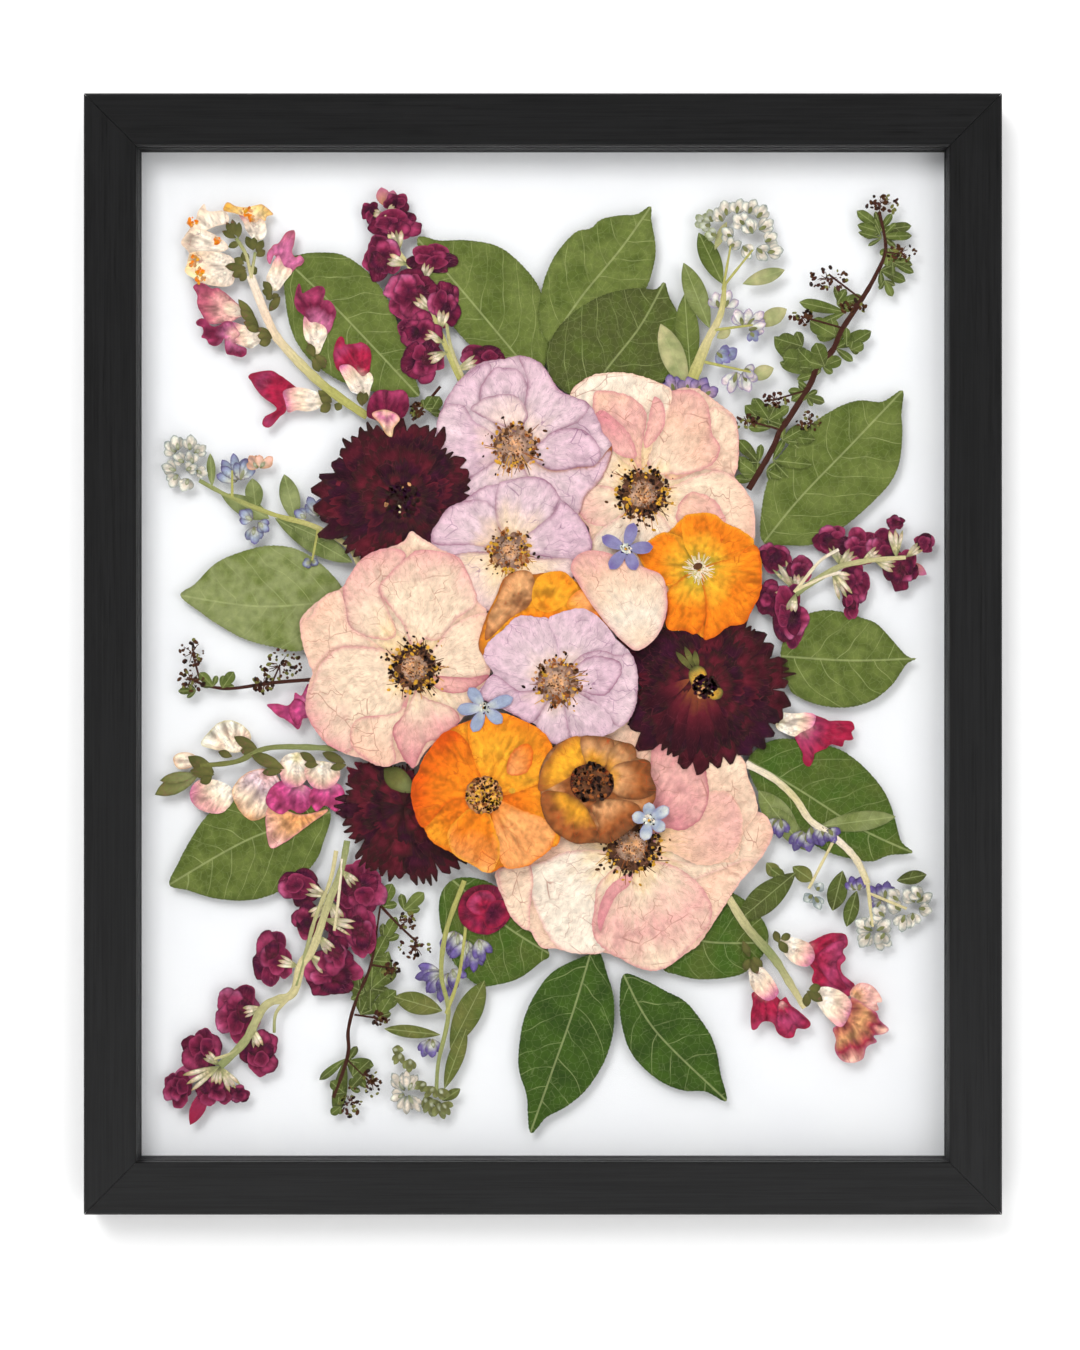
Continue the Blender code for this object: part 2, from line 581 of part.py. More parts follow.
def add_dried_pieces():
    """Lay every piece on those already there."""
    made = shapes()
    lower = []
    for name in PILE:
        shape, colour = made[name]
        points, triangles, thickness = sheet_of(*shape)
        cells = footprint(points, triangles)
        reach = widened(cells)
        level = max((1 + other for other, covered in lower if covered & reach), default=0)
        if level >= LEVELS:
            raise ValueError(f"{name} lies on too many others")
        lower.append((level, cells))
        back = REAR_GLASS_FRONT - GAP - level * LEVEL
        bm = bmesh.new()
        spots = [
            bm.verts.new((point.x * MM, back - deep, point.y * MM))
            for point, deep in zip(points, thickness)
        ]
        faces = [bm.faces.new([spots[i] for i in triangle]) for triangle in triangles]
        bmesh.ops.delete(bm, geom=[vert for vert in bm.verts if not vert.link_faces], context="VERTS")
        push_back(bm, faces, back)
        add_object(name, bm, material(name, colour, 0.7))


def add_frame():
    """The four rails, the panes, the strips between them, the boards and the hanger."""
    wood = material("black_wood", (0.012, 0.012, 0.012), 0.38)
    spacer = material("black_spacer", (0.01, 0.01, 0.01), 0.5)
    glass = material("glass", (1, 1, 1), 0.02, transmission=1.0)
    rails = (
        ("rail_top", OPENING_WIDTH, OPENING_HEIGHT, 0),
        ("rail_right", OPENING_HEIGHT, OPENING_WIDTH, math.pi / 2),
        ("rail_bottom", OPENING_WIDTH, OPENING_HEIGHT, math.pi),
        ("rail_left", OPENING_HEIGHT, OPENING_WIDTH, -math.pi / 2),
    )
    for name, along, across, turn in rails:
        add_rail(name, along, across / 2, turn, wood)
    spare = 2 * (REBATE - EDGE_PLAY)
    width, height = OPENING_WIDTH + spare, OPENING_HEIGHT + spare
    add_slab("front_glass", width, height, LIP_BACK + GAP, FRONT_GLASS_BACK, glass)
    add_ring("front_spacer", FRONT_GLASS_BACK + GAP, REAR_GLASS_FRONT - GAP, spacer)
    add_slab("rear_glass", width, height, REAR_GLASS_FRONT, REAR_GLASS_BACK, glass)
    add_ring("rear_spacer", REAR_GLASS_BACK + GAP, BOARD_FRONT - GAP, spacer)
    card = material("white_card", (0.9, 0.9, 0.91), 0.85)
    add_slab("mount_board", width, height, BOARD_FRONT, BOARD_BACK, card)
    fibreboard = material("brown_fibreboard", (0.16, 0.10, 0.055), 0.8)
    add_slab("back_panel", width, height, PANEL_FRONT, 0, fibreboard)
    add_hanger(material("zinc_steel", (0.55, 0.54, 0.50), 0.35, metallic=1.0))


clear_scene()
add_frame()
add_dried_pieces()
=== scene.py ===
"""Dresses the pressed flower frame: flowers, leaves and twigs between two panes in a black frame."""

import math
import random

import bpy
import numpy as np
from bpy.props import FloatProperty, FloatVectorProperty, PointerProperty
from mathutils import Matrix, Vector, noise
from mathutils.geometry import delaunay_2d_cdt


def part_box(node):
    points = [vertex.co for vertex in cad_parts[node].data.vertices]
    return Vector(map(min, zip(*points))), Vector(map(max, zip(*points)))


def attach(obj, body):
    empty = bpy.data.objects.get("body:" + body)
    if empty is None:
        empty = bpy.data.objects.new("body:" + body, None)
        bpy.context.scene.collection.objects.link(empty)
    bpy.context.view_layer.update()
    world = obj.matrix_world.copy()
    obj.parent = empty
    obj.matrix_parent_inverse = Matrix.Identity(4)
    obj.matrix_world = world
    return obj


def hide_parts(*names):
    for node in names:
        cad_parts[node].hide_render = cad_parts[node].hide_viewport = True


bl_info = {
    "name": "Pressed Flower Frame",
    "version": (1, 0, 0),
    "blender": (4, 5, 0),
    "location": "View3D > Sidebar > Pressed Flowers",
    "description": "Models the dried flowers of a pressed flower frame and finishes its rails and panes",
    "category": "Object",
}

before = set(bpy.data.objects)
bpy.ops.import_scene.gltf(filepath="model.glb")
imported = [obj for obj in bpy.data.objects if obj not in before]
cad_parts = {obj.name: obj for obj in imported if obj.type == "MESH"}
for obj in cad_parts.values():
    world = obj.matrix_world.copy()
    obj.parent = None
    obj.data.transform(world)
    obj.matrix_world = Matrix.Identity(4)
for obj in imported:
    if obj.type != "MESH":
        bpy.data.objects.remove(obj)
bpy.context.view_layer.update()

MM = 0.001

# Places on the flowers are written as pixels of the picture: its scale, and the opening's middle
PX = MM / 2.013
MIDDLE_PX = (542.5, 653.5)

# Finishes that a dried piece may have, in the order of its material slots
PETAL, LEAF, STALK = range(3)

# The height in millimetres that a whole piece and a grain on it may reach, under the piece in front
MOST_HEIGHT, MOST_BEAD = 0.62, 0.32


def tone(name, note, red, green, blue):
    """A colour property from 0 to 255 values of the picture."""
    linear = [((v / 255 + 0.055) / 1.055) ** 2.4 if v > 10 else v / 3295 for v in (red, green, blue)]
    return FloatVectorProperty(
        name=name, description=note, subtype="COLOR", size=3, min=0, max=1, default=linear
    )


def length(name, note, millimetres):
    """A length property with its default in millimetres."""
    return FloatProperty(
        name=name, description=note, default=millimetres * MM, min=0, subtype="DISTANCE", unit="LENGTH"
    )


class DriedColours(bpy.types.PropertyGroup):
    """The colours that the flowers, leaves and twigs dried to."""

    cream: tone("Cream", "Papery rose petals", 240, 212, 184)
    ivory: tone("Ivory", "The palest petals", 242, 226, 206)
    peach: tone("Peach", "Warm rose petals", 236, 190, 164)
    blush: tone("Blush", "Faded pink petals", 228, 172, 162)
    pink: tone("Pink", "Turned petal edges", 208, 132, 138)
    rose: tone("Rose", "Dark folds in the petals", 176, 92, 106)
    butter: tone("Butter", "Petals near a rose's centre", 242, 204, 124)
    lilac: tone("Lilac", "Mauve rose petals", 216, 182, 194)
    mist: tone("Mist", "Pale mauve petals", 222, 195, 200)
    mauve: tone("Mauve", "Mauve folds and edges", 150, 98, 122)
    orange: tone("Orange", "Poppy petals", 236, 126, 20)
    flame: tone("Flame", "Dark streaks of the poppies", 206, 78, 8)
    amber: tone("Amber", "Yellow poppy petals", 234, 162, 40)
    apricot: tone("Apricot", "Faded poppy petals", 236, 158, 92)
    lime: tone("Lime", "The green heart of a poppy", 190, 164, 44)
    teal: tone("Teal", "Outlines of the white florets", 96, 118, 120)
    gold: tone("Gold", "Pollen and stamens", 214, 158, 50)
    tan: tone("Tan", "Withered petals", 205, 150, 100)
    rust: tone("Rust", "Browned petals", 150, 85, 40)
    umber: tone("Umber", "Brown centres", 95, 60, 35)
    soot: tone("Soot", "Black stamens and dots", 40, 24, 18)
    fuzz: tone("Fuzz", "Mottled centres", 165, 135, 115)
    burgundy: tone("Burgundy", "Dark blooms", 46, 5, 18)
    wine: tone("Wine", "Lighter streaks of the dark blooms", 94, 20, 34)
    plum: tone("Plum", "Purple-black petals", 42, 3, 32)
    maroon: tone("Maroon", "Ruffled florets", 98, 18, 48)
    # Magenta is the florets' own pink, and on the ruffled florets' edges it is partly a painted highlight
    magenta: tone("Magenta", "Light edges of the ruffled florets", 150, 52, 88)
    crimson: tone("Crimson", "Snapdragon lips", 150, 24, 56)
    orchid: tone("Orchid", "Lilac-pink florets", 186, 100, 138)
    fuchsia: tone("Fuchsia", "Bright pink florets", 198, 72, 130)
    violet: tone("Violet", "Violet petals", 104, 86, 148)
    indigo: tone("Indigo", "Dark violet petals", 60, 36, 92)
    sky: tone("Sky", "Pale blue petals", 156, 168, 190)
    periwinkle: tone("Periwinkle", "Blue stars", 136, 130, 172)
    frost: tone("Frost", "Blue-white petals", 222, 224, 210)
    olive: tone("Olive", "Sepals", 112, 112, 56)
    moss: tone("Moss", "Dark sepals", 72, 78, 34)
    leaf: tone("Leaf", "Leaves", 80, 94, 34)
    meadow: tone("Meadow", "Lighter leaves", 104, 116, 54)
    fresh: tone("Fresh", "Brighter leaves", 60, 88, 20)
    deep: tone("Deep", "Dark leaves", 44, 68, 14)
    sage: tone("Sage", "Pale leaves", 138, 146, 94)
    straw: tone("Straw", "Dry stems", 214, 200, 150)
    stem: tone("Stem", "Green stems", 176, 172, 98)
    bark: tone("Bark", "Twigs", 66, 34, 26)
    seed: tone("Seed", "Seed heads", 74, 44, 24)


class DriedSizes(bpy.types.PropertyGroup):
    """The sizes that the dried pieces share."""

    petal: length("Petal", "Thickness of a pressed petal", 0.06)
    lift: length("Lift", "Height that each petal lies above the one below", 0.05)
    net: length("Net", "Spacing of the points of a petal", 1.5)
    edge: length("Edge", "Spacing of the points along a petal's edge", 0.9)
    wrinkle: length("Wrinkle", "Height of the wrinkles, less than a petal's lift", 0.038)
    # Shade is the width of the painted shade beside the edge of a petal that lies on another
    shade: length("Shade", "Width of the dark line where one petal lies on another", 0.75)


def colour(name):
    """A named colour as linear values."""
    return np.array(getattr(bpy.context.scene.dried_colours, name))


def size(name):
    """A shared size in metres."""
    return getattr(bpy.context.scene.dried_sizes, name)


def places(text):
    """Pixels of the picture, such as "12,30 14,36", as places in the frame's plane."""
    rows = np.array([[float(value) for value in pair.split(",")] for pair in text.split()])
    return (rows - MIDDLE_PX) * (PX, -PX)


def numbers(text, count):
    """Rows of count numbers."""
    flat = [float(word) for word in text.replace(",", " ").split()]
    return [flat[i:i + count] for i in range(0, len(flat), count)]


def flowing(points, step, closed=False, curve=True):
    """A smooth line through the points, or straight runs between them, sampled at every step."""
    count = len(points)
    found = []
    for i in range(count if closed else count - 1):
        near = [i - 1, i, i + 1, i + 2]
        a, b, c, d = (points[j % count] if closed else points[min(max(j, 0), count - 1)] for j in near)
        parts = max(1, round(np.linalg.norm(c - b) / step))
        t = np.arange(parts)[:, None] / parts
        if not curve:
            found.append(b + (c - b) * t)
            continue
        found.append(b + ((c - a) * t + (2 * a - 5 * b + 4 * c - d) * t**2 + (3 * b - a - 3 * c + d) * t**3) / 2)
    if not closed:
        found.append(points[-1:])
    return np.concatenate(found)


def nearest(points, line):
    """For each point: its distance from the line's points and the number of the nearest."""
    away = np.linalg.norm(points[:, None] - line[None], axis=2)
    closest = away.argmin(1)
    return away[np.arange(len(points)), closest], closest


def within(points, outline):
    """Which points an outline holds."""
    inside = np.zeros(len(points), bool)
    x, z = points.T
    for (ax, az), (bx, bz) in zip(outline, np.roll(outline, -1, axis=0)):
        if az != bz:
            inside ^= ((az > z) != (bz > z)) & (x < (bx - ax) * (z - az) / (bz - az) + ax)
    return inside


def netted(outline, step):
    """A net of triangles inside an outline."""
    low, high = outline.min(0), outline.max(0)
    x, row = np.meshgrid(np.arange(low[0], high[0], step), np.arange((high[1] - low[1]) / step / 0.87))
    spots = np.stack([x + (row % 2) * step / 2, low[1] + row * step * 0.87], axis=-1).reshape(-1, 2)
    spots = spots[within(spots, outline)]
    if len(spots):
        spots = spots[nearest(spots, outline)[0] > step * 0.6]
    points = np.concatenate([outline, spots]) / MM
    count = len(outline)
    ring = [(i, (i + 1) % count) for i in range(count)]
    found = delaunay_2d_cdt([Vector(p) for p in points], ring, [], 0, 1e-4)
    points = np.array([v[:] for v in found[0]]) * MM
    triangles = np.array(found[2])
    triangles = triangles[within(points[triangles].mean(1), outline)]
    used, triangles = np.unique(triangles, return_inverse=True)
    return points[used], triangles.reshape(-1, 3)


def ripple(points, scale, seed):
    """Soft noise between about -1 and 1 at each place; scale is the size of a bump in millimetres."""
    rate = 1 / (scale * MM)
    return np.array([noise.noise((x * rate, z * rate, seed)) for x, z in points]) * 1.6


class Specimen:
    """One dried piece in the making: petals, leaves, stems and beads laid on each other."""

    def __init__(self, node, seed=0):
        self.node = node
        self.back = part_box(node)[1].y
        self.random = random.Random(f"{node} {seed}")
        self.parts = []
        self.rise = 1.0
        self.levels = {}

    def add(self, points, faces, finish, tint, across=None, outline=None, rise=0.0):
        """Keep one part. Its points are x, height and z; across is its map along the veins.

        It lies above the parts that it covers, and rise is how many levels it fills itself.
        """
        if across is None:
            across = points[:, [0, 2]] / (10 * MM)
        tint = np.broadcast_to(tint, (len(points), 3)).copy()
        cells = set(map(tuple, np.round(points[:, [0, 2]] / size("net")).astype(int).tolist()))
        level = max(self.levels.get(cell, 0) for cell in cells)
        self.levels.update((cell, level + rise) for cell in cells)
        self.parts.append([points, faces, finish, tint, across, outline, level])

    def sheet(self, outline, root, tones, rim=None, rim_width=1.2, crumple=0.0, folds=0.5, finish=PETAL,
              streaks=0.25, step=None, ragged=0.12, curve=True, reach=None):
        """Lay a petal. Its tones run from the root outwards, and rim colours its edge."""
        step = step or size("net")
        outline = flowing(np.asarray(outline), size("edge"), True, curve)
        root = np.asarray(root, float)
        seed = self.random.uniform(0, 500)
        if ragged:
            edge_noise = ripple(outline, 1.7, seed)[:, None] * ragged * MM
            out = outline - outline.mean(0)
            outline = outline + out / np.linalg.norm(out, axis=1)[:, None] * edge_noise
        points, triangles = netted(outline, step)
        edge = nearest(points, outline)[0]
        out = points - root
        away = np.linalg.norm(out, axis=1)
        reach = reach or away.max()
        axis = points.mean(0) - root
        if np.linalg.norm(axis) < 0.15 * reach:
            axis = np.array((0.0, 1.0))
        turn = np.arctan2(axis[0] * out[:, 1] - axis[1] * out[:, 0], out @ axis)
        ray = np.stack([turn * reach * 0.9, away * 0.25], axis=1)
        bands = ripple(ray, 3.5, seed)
        fine = ripple(ray, 1.1, seed + 7)
        blot = ripple(points, 9, seed + 3)
        share = np.clip(away / reach + 0.07 * bands + 0.08 * blot, 0, 0.999)
        ramp = np.array([colour(name) for name in tones.split()])
        spot = share * (len(ramp) - 1)
        low = spot.astype(int)
        high = np.minimum(low + 1, len(ramp) - 1)
        tint = ramp[low] + (ramp[high] - ramp[low]) * (spot - low)[:, None]
        tint = tint * (1 + streaks * np.clip(0.35 * bands + 0.3 * fine, -0.5, 0.35))[:, None]
        height = size("wrinkle") * folds * (0.6 * bands + 0.4 * fine)
        if crumple:
            ridge = 1 - np.abs(ripple(points, 5, seed + 11)) * 1.6 - 0.6 * np.abs(ripple(points, 2.2, seed + 17))
            # Painted light and shade: the tint is lightened on the crumple's ridges and darkened in its hollows,
            # besides the height following them
            tint = tint * (1 + crumple * np.clip(ridge, -0.8, 0.6))[:, None]
            height = height + size("wrinkle") * crumple * 2.2 * ridge
        if rim:
            near = np.exp(-edge / (rim_width * MM)) * (0.75 + 0.25 * blot)
            tint = tint + (colour(rim) - tint) * np.clip(near, 0, 1)[:, None]
        height = size("petal") + np.clip(height, -0.3 * size("wrinkle"), size("wrinkle"))
        spots = np.stack([points[:, 0], height, points[:, 1]], axis=1)
        across = np.stack([turn, away / (10 * MM)], axis=1)
        self.shell(spots, triangles, finish, tint, across, outline)

    def shell(self, spots, triangles, finish, tint, across, outline):
        """Give a sheet its thickness, so that it is closed."""
        count = len(spots)
        below = spots - (0, size("petal"), 0)
        ends = np.concatenate([triangles[:, [0, 1]], triangles[:, [1, 2]], triangles[:, [2, 0]]])
        codes = ends[:, 0] * count + ends[:, 1]
        rim = ends[~np.isin(codes, ends[:, 1] * count + ends[:, 0])]
        walls = np.concatenate([
            np.stack([rim[:, 1], rim[:, 0], rim[:, 0] + count], axis=1),
            np.stack([rim[:, 1], rim[:, 0] + count, rim[:, 1] + count], axis=1),
        ])
        faces = np.concatenate([triangles, triangles[:, ::-1] + count, walls])
        self.add(
            np.concatenate([spots, below]), faces, finish, np.concatenate([tint, tint]),
            np.concatenate([across, across]), outline, self.rise,
        )

    def blade(self, base, tip, width, tones, rim=None, finish=PETAL, fullest=0.55, point=0.5, bend=0.0, **more):
        """Lay a narrow petal or leaf from its base to its tip. point is 0 for a round tip, 1 for a sharp one."""
        base, tip = np.asarray(base, float), np.asarray(tip, float)
        along = tip - base
        side = np.array((-along[1], along[0])) / np.linalg.norm(along)
        steps = np.linspace(0, 1, 9)
        swell = np.where(
            steps < fullest,
            np.sin(steps / fullest * math.pi / 2) ** 0.8,
            np.cos((steps - fullest) / (1 - fullest) * math.pi / 2) ** (0.45 + 0.6 * point),
        )
        middle = base + along * steps[:, None] + side * (bend * np.sin(steps * math.pi))[:, None]
        half = np.maximum(swell, 0.03)[:, None] * side * width / 2
        outline = np.concatenate([middle + half, (middle - half)[::-1]])
        if finish == LEAF:
            self.leaf(outline, np.stack([base, middle[4], tip]), tones, **more)
        else:
            self.sheet(outline, base, tones, rim, finish=finish, **more)

    def leaf(self, outline, rib, tones, serrated=0.0, step=None, vein_gap=1.0):
        """Lay a leaf. Its map runs along the midrib and away from it, in centimetres."""
        outline = flowing(np.asarray(outline), size("edge") * 0.7, closed=True)
        rib = flowing(np.asarray(rib), 1.0 * MM)
        seed = self.random.uniform(0, 500)
        if serrated:
            run = np.cumsum(np.linalg.norm(np.diff(outline, axis=0, prepend=outline[:1]), axis=1))
            tooth = (run / (2.2 * MM)) % 1
            out = outline - rib[nearest(outline, rib)[1]]
            out = out / np.maximum(np.linalg.norm(out, axis=1), 1e-6)[:, None]
            outline = outline + out * ((tooth - 0.6) * serrated * MM)[:, None]
        points, triangles = netted(outline, step or size("net"))
        away, closest = nearest(points, rib)
        run = np.concatenate([[0], np.cumsum(np.linalg.norm(np.diff(rib, axis=0), axis=1))])
        ahead = np.gradient(rib, axis=0)[closest]
        ahead = ahead / np.linalg.norm(ahead, axis=1)[:, None]
        off = points - rib[closest]
        along = run[closest] + (off * ahead).sum(1)
        side = ahead[:, 0] * off[:, 1] - ahead[:, 1] * off[:, 0]
        across = np.stack([along, side], axis=1) / (10 * MM * vein_gap)
        edge = nearest(points, outline)[0]
        ramp = np.array([colour(name) for name in tones.split()])
        share = np.clip(0.5 + 0.5 * ripple(points, 12, seed) + 0.2 * ripple(points, 4, seed + 5), 0, 0.999)
        spot = share * (len(ramp) - 1)
        low = spot.astype(int)
        high = np.minimum(low + 1, len(ramp) - 1)
        tint = ramp[low] + (ramp[high] - ramp[low]) * (spot - low)[:, None]
        tint = tint * (1 - 0.22 * np.exp(-edge / (0.8 * MM)))[:, None]
        height = size("petal") + size("wrinkle") * (
            0.5 * ripple(points, 7, seed + 9) + 0.8 * np.exp(-np.abs(side) / (1.0 * MM))
        )
        spots = np.stack([points[:, 0], height, points[:, 1]], axis=1)
        self.shell(spots, triangles, LEAF, tint, across, outline)

    def stalk(self, line, widths, tones, height=0.12, curve=True, rise=2.0):
        """Lay a flattened stem along a line; its width runs from the first to the last one given."""
        line = flowing(np.asarray(line), 1.5 * MM) if curve else np.asarray(line)
        count = len(line)
        t = np.linspace(0, 1, count)
        half = np.interp(t, np.linspace(0, 1, len(widths)), widths) * PX / 2
        half = half * (1 + 0.12 * ripple(line, 4, self.random.uniform(0, 500)))
        ahead = np.gradient(line, axis=0)
        ahead = ahead / np.linalg.norm(ahead, axis=1)[:, None]
        side = np.stack([-ahead[:, 1], ahead[:, 0]], axis=1)
        ring = 8
        turns = np.arange(ring) / ring * 2 * math.pi
        deep = np.minimum(half, height * MM)
        ramp = np.array([colour(name) for name in tones.split()])
        spot = np.clip(t, 0, 0.999) * (len(ramp) - 1)
        low = spot.astype(int)
        tone_at = ramp[low] + (ramp[np.minimum(low + 1, len(ramp) - 1)] - ramp[low]) * (spot - low)[:, None]
        base = height * MM
        spots, tint, across = [], [], []
        for turn in turns:
            flat = line + side * (half * math.cos(turn))[:, None]
            spots.append(np.stack([flat[:, 0], base + deep * math.sin(turn), flat[:, 1]], axis=1))
            # Painted shade: each stem is lightest at its front and darkest at its back, as if lit from the front
            tint.append(tone_at * (0.8 + 0.2 * math.sin(turn)))
            across.append(np.stack([np.full(count, turn), t * count * 0.15], axis=1))
        spots, tint, across = (np.concatenate(rows) for rows in (spots, tint, across))
        faces = []
        for i in range(ring):
            j = (i + 1) % ring
            for k in range(count - 1):
                a, b, c, d = i * count + k, j * count + k, j * count + k + 1, i * count + k + 1
                faces += [(a, c, b), (a, d, c)]
        for k, order in ((0, 1), (count - 1, -1)):
            cap = [i * count + k for i in range(ring)]
            faces += [(cap[0], cap[i], cap[i + 1])[::order] for i in range(1, ring - 1)]
        self.add(spots, np.array(faces), STALK, tint, across, rise=rise)

    def bead(self, centre, radius, tint, deep=0.5, stretch=1.0, turn=0.0, height=0.0):
        """Lay a flattened grain; stretch makes it long, along the angle turn."""
        centre = np.asarray(centre, float)
        rows = [(0.0, 1.0), (0.75, 0.66), (1.0, 0.0), (0.75, -0.66), (0.0, -1.0)]
        sides = 7
        spots = []
        for out, up in rows:
            for i in range(1 if out == 0 else sides):
                angle = 2 * math.pi * i / sides
                x, z = out * math.cos(angle) * stretch, out * math.sin(angle)
                x, z = x * math.cos(turn) - z * math.sin(turn), x * math.sin(turn) + z * math.cos(turn)
                spots.append((centre[0] + x * radius, up * radius * deep, centre[1] + z * radius))
        spots = np.array(spots)
        spots[:, 1] = np.maximum(spots[:, 1] + height * MM + radius * deep * 0.4 + size("petal"), 0)
        spots[:, 1] = np.minimum(spots[:, 1], MOST_BEAD * MM)
        faces = [(0, 1 + (i + 1) % sides, 1 + i) for i in range(sides)]
        for row in range(2):
            first = 1 + row * sides
            for i in range(sides):
                j = (i + 1) % sides
                faces += [(first + i, first + j, first + sides + j), (first + i, first + sides + j, first + sides + i)]
        last = 1 + 3 * sides
        faces += [(last, last - sides + i, last - sides + (i + 1) % sides) for i in range(sides)]
        self.add(spots, np.array(faces), STALK, tint)

    def grains(self, centre, inner, outer, count, tones, radius=(0.35, 0.8), deep=0.4, height=0.0):
        """Scatter grains in a ring."""
        names = tones.split()
        for _ in range(count):
            angle = self.random.uniform(0, 2 * math.pi)
            away = math.sqrt(self.random.uniform(inner**2, outer**2))
            spot = np.asarray(centre) + (away * math.cos(angle), away * math.sin(angle))
            shade = self.random.uniform(0.7, 1.15)
            self.bead(
                spot, self.random.uniform(*radius) * MM, colour(self.random.choice(names)) * shade, deep,
                self.random.uniform(1, 1.9), self.random.uniform(0, math.pi), height,
            )

    def hairs(self, centre, inner, outer, count, tones, width=0.8):
        """Lay thin filaments that run out from the centre."""
        names = tones.split()
        for _ in range(count):
            angle = self.random.uniform(0, 2 * math.pi)
            start = self.random.uniform(0.6, 1.2) * inner
            end = self.random.uniform(0.6, 1.0) * outer
            sway = self.random.uniform(-0.25, 0.25)
            line = [
                np.asarray(centre) + (away * math.cos(angle + turn), away * math.sin(angle + turn))
                for away, turn in ((start, 0), ((start + end) / 2, sway / 2), (end, sway))
            ]
            self.stalk(line, (width, width * 0.6), self.random.choice(names), 0.08, rise=0.0)

    def paint_overlap_shade(self):
        """Paint shade on each petal beside the edge of one that lies on it, where that petal's shadow would fall."""
        reach = size("shade")
        sheets = [part for part in self.parts if part[5] is not None]
        for low, part in enumerate(sheets):
            flat = part[0][:, [0, 2]]
            for upper in sheets[low + 1:]:
                outline = upper[5]
                near = np.all((flat > outline.min(0) - 2 * reach) & (flat < outline.max(0) + 2 * reach), axis=1)
                if near.any():
                    away = nearest(flat[near], outline)[0]
                    # Painted shade: the tint is darkened by up to a third near the upper petal's edge
                    part[3][near] *= (1 - 0.34 * np.exp(-away / reach))[:, None]

    def finish(self, slot):
        """Make the piece's object in place of its node."""
        self.paint_overlap_shade()
        points, faces, finishes, tints, maps = [], [], [], [], []
        first = 0
        lift = min(size("lift"), (MOST_HEIGHT - MOST_BEAD) * MM / max(part[6] for part in self.parts + [[1] * 7]))
        for spots, triangles, kind, tint, across, outline, level in self.parts:
            if outline is not None:
                spots = spots * (1, lift / size("lift"), 1)
            points.append(spots + (0, level * lift, 0))
            faces.append(triangles + first)
            finishes.append(np.full(len(triangles), kind))
            tints.append(tint)
            maps.append(across)
            first += len(spots)
        points, faces, finishes, tints, maps = map(np.concatenate, (points, faces, finishes, tints, maps))
        points[:, 1] = self.back - points[:, 1]
        mesh = bpy.data.meshes.new(self.node + "_dried")
        mesh.from_pydata(points.tolist(), [], faces.tolist())
        kinds = sorted(set(finishes.tolist()))
        for kind in kinds:
            mesh.materials.append(dried_finish(kind, slot))
        order = np.array([kinds.index(kind) if kind in kinds else 0 for kind in range(3)])
        mesh.polygons.foreach_set("material_index", order[finishes])
        attribute = mesh.color_attributes.new("Tint", "FLOAT_COLOR", "POINT")
        rgba = np.ones((len(points), 4))
        rgba[:, :3] = np.clip(tints, 0, 1)
        attribute.data.foreach_set("color", rgba.ravel())
        mesh.uv_layers.new(name="Veins").uv.foreach_set("vector", maps[faces.ravel()].ravel())
        mesh.shade_smooth()
        mesh.set_sharp_from_angle(angle=math.radians(50))
        piece = bpy.data.objects.new(self.node + "_dried", mesh)
        bpy.context.collection.objects.link(piece)
        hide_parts(self.node)
        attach(piece, "root")
        return piece


class Shader:
    """Nodes of one material or group, each added with its inputs."""

    def __init__(self, tree):
        self.tree = tree

    def add(self, kind, settings=None, **inputs):
        """Add a node; an input is a value or the socket that feeds it."""
        made = self.tree.nodes.new(kind)
        for name, value in (settings or {}).items():
            setattr(made, name, value)
        for name, value in inputs.items():
            socket = made.inputs[int(name[1:])] if name[1:].isdigit() else made.inputs[name.replace("_", " ")]
            if isinstance(value, bpy.types.NodeSocket):
                self.tree.links.new(value, socket)
            else:
                socket.default_value = value
        return made

    def math(self, operation, *values):
        """The result of a Math node."""
        inputs = {f"i{i}": value for i, value in enumerate(values)}
        return self.add("ShaderNodeMath", {"operation": operation}, **inputs).outputs[0]

    def between(self, value, low, high, to_low=0.0, to_high=1.0):
        """The value's smooth way from one limit to another."""
        settings = {"interpolation_type": "SMOOTHSTEP"}
        inputs = {"From Min": low, "From Max": high, "To Min": to_low, "To Max": to_high}
        made = self.add("ShaderNodeMapRange", settings, Value=value)
        for name, limit in inputs.items():
            made.inputs[name].default_value = limit
        return made.outputs[0]

    def mix(self, share, first, second, blend="MIX"):
        """Two colours mixed."""
        made = self.tree.nodes.new("ShaderNodeMix")
        made.data_type = "RGBA"
        made.blend_type = blend
        for socket, value in zip((made.inputs[0], made.inputs[6], made.inputs[7]), (share, first, second)):
            if isinstance(value, bpy.types.NodeSocket):
                self.tree.links.new(value, socket)
            else:
                socket.default_value = value
        return made.outputs[2]

    def noise(self, vector, scale, detail=3.0, roughness=0.55):
        """Noise from 0 to 1."""
        made = self.add("ShaderNodeTexNoise", Scale=scale, Detail=detail, Roughness=roughness)
        self.tree.links.new(vector, made.inputs["Vector"])
        return made.outputs["Fac"]

    def stretched(self, vector, x, y, z):
        """A vector scaled by its axes."""
        return self.add("ShaderNodeMapping", Vector=vector, Scale=(x, y, z)).outputs[0]


def group(name, inputs, outputs, build):
    """A shader node group, built once."""
    tree = bpy.data.node_groups.get(name)
    if tree:
        return tree
    tree = bpy.data.node_groups.new(name, "ShaderNodeTree")
    kinds = {"value": "NodeSocketFloat", "colour": "NodeSocketColor", "vector": "NodeSocketVector"}
    for label, kind in inputs:
        tree.interface.new_socket(label, in_out="INPUT", socket_type=kinds[kind])
    for label, kind in outputs:
        tree.interface.new_socket(label, in_out="OUTPUT", socket_type=kinds[kind])
    given = tree.nodes.new("NodeGroupInput")
    made = build(Shader(tree), given.outputs)
    result = tree.nodes.new("NodeGroupOutput")
    for socket, value in zip(result.inputs, made):
        tree.links.new(value, socket)
    return tree


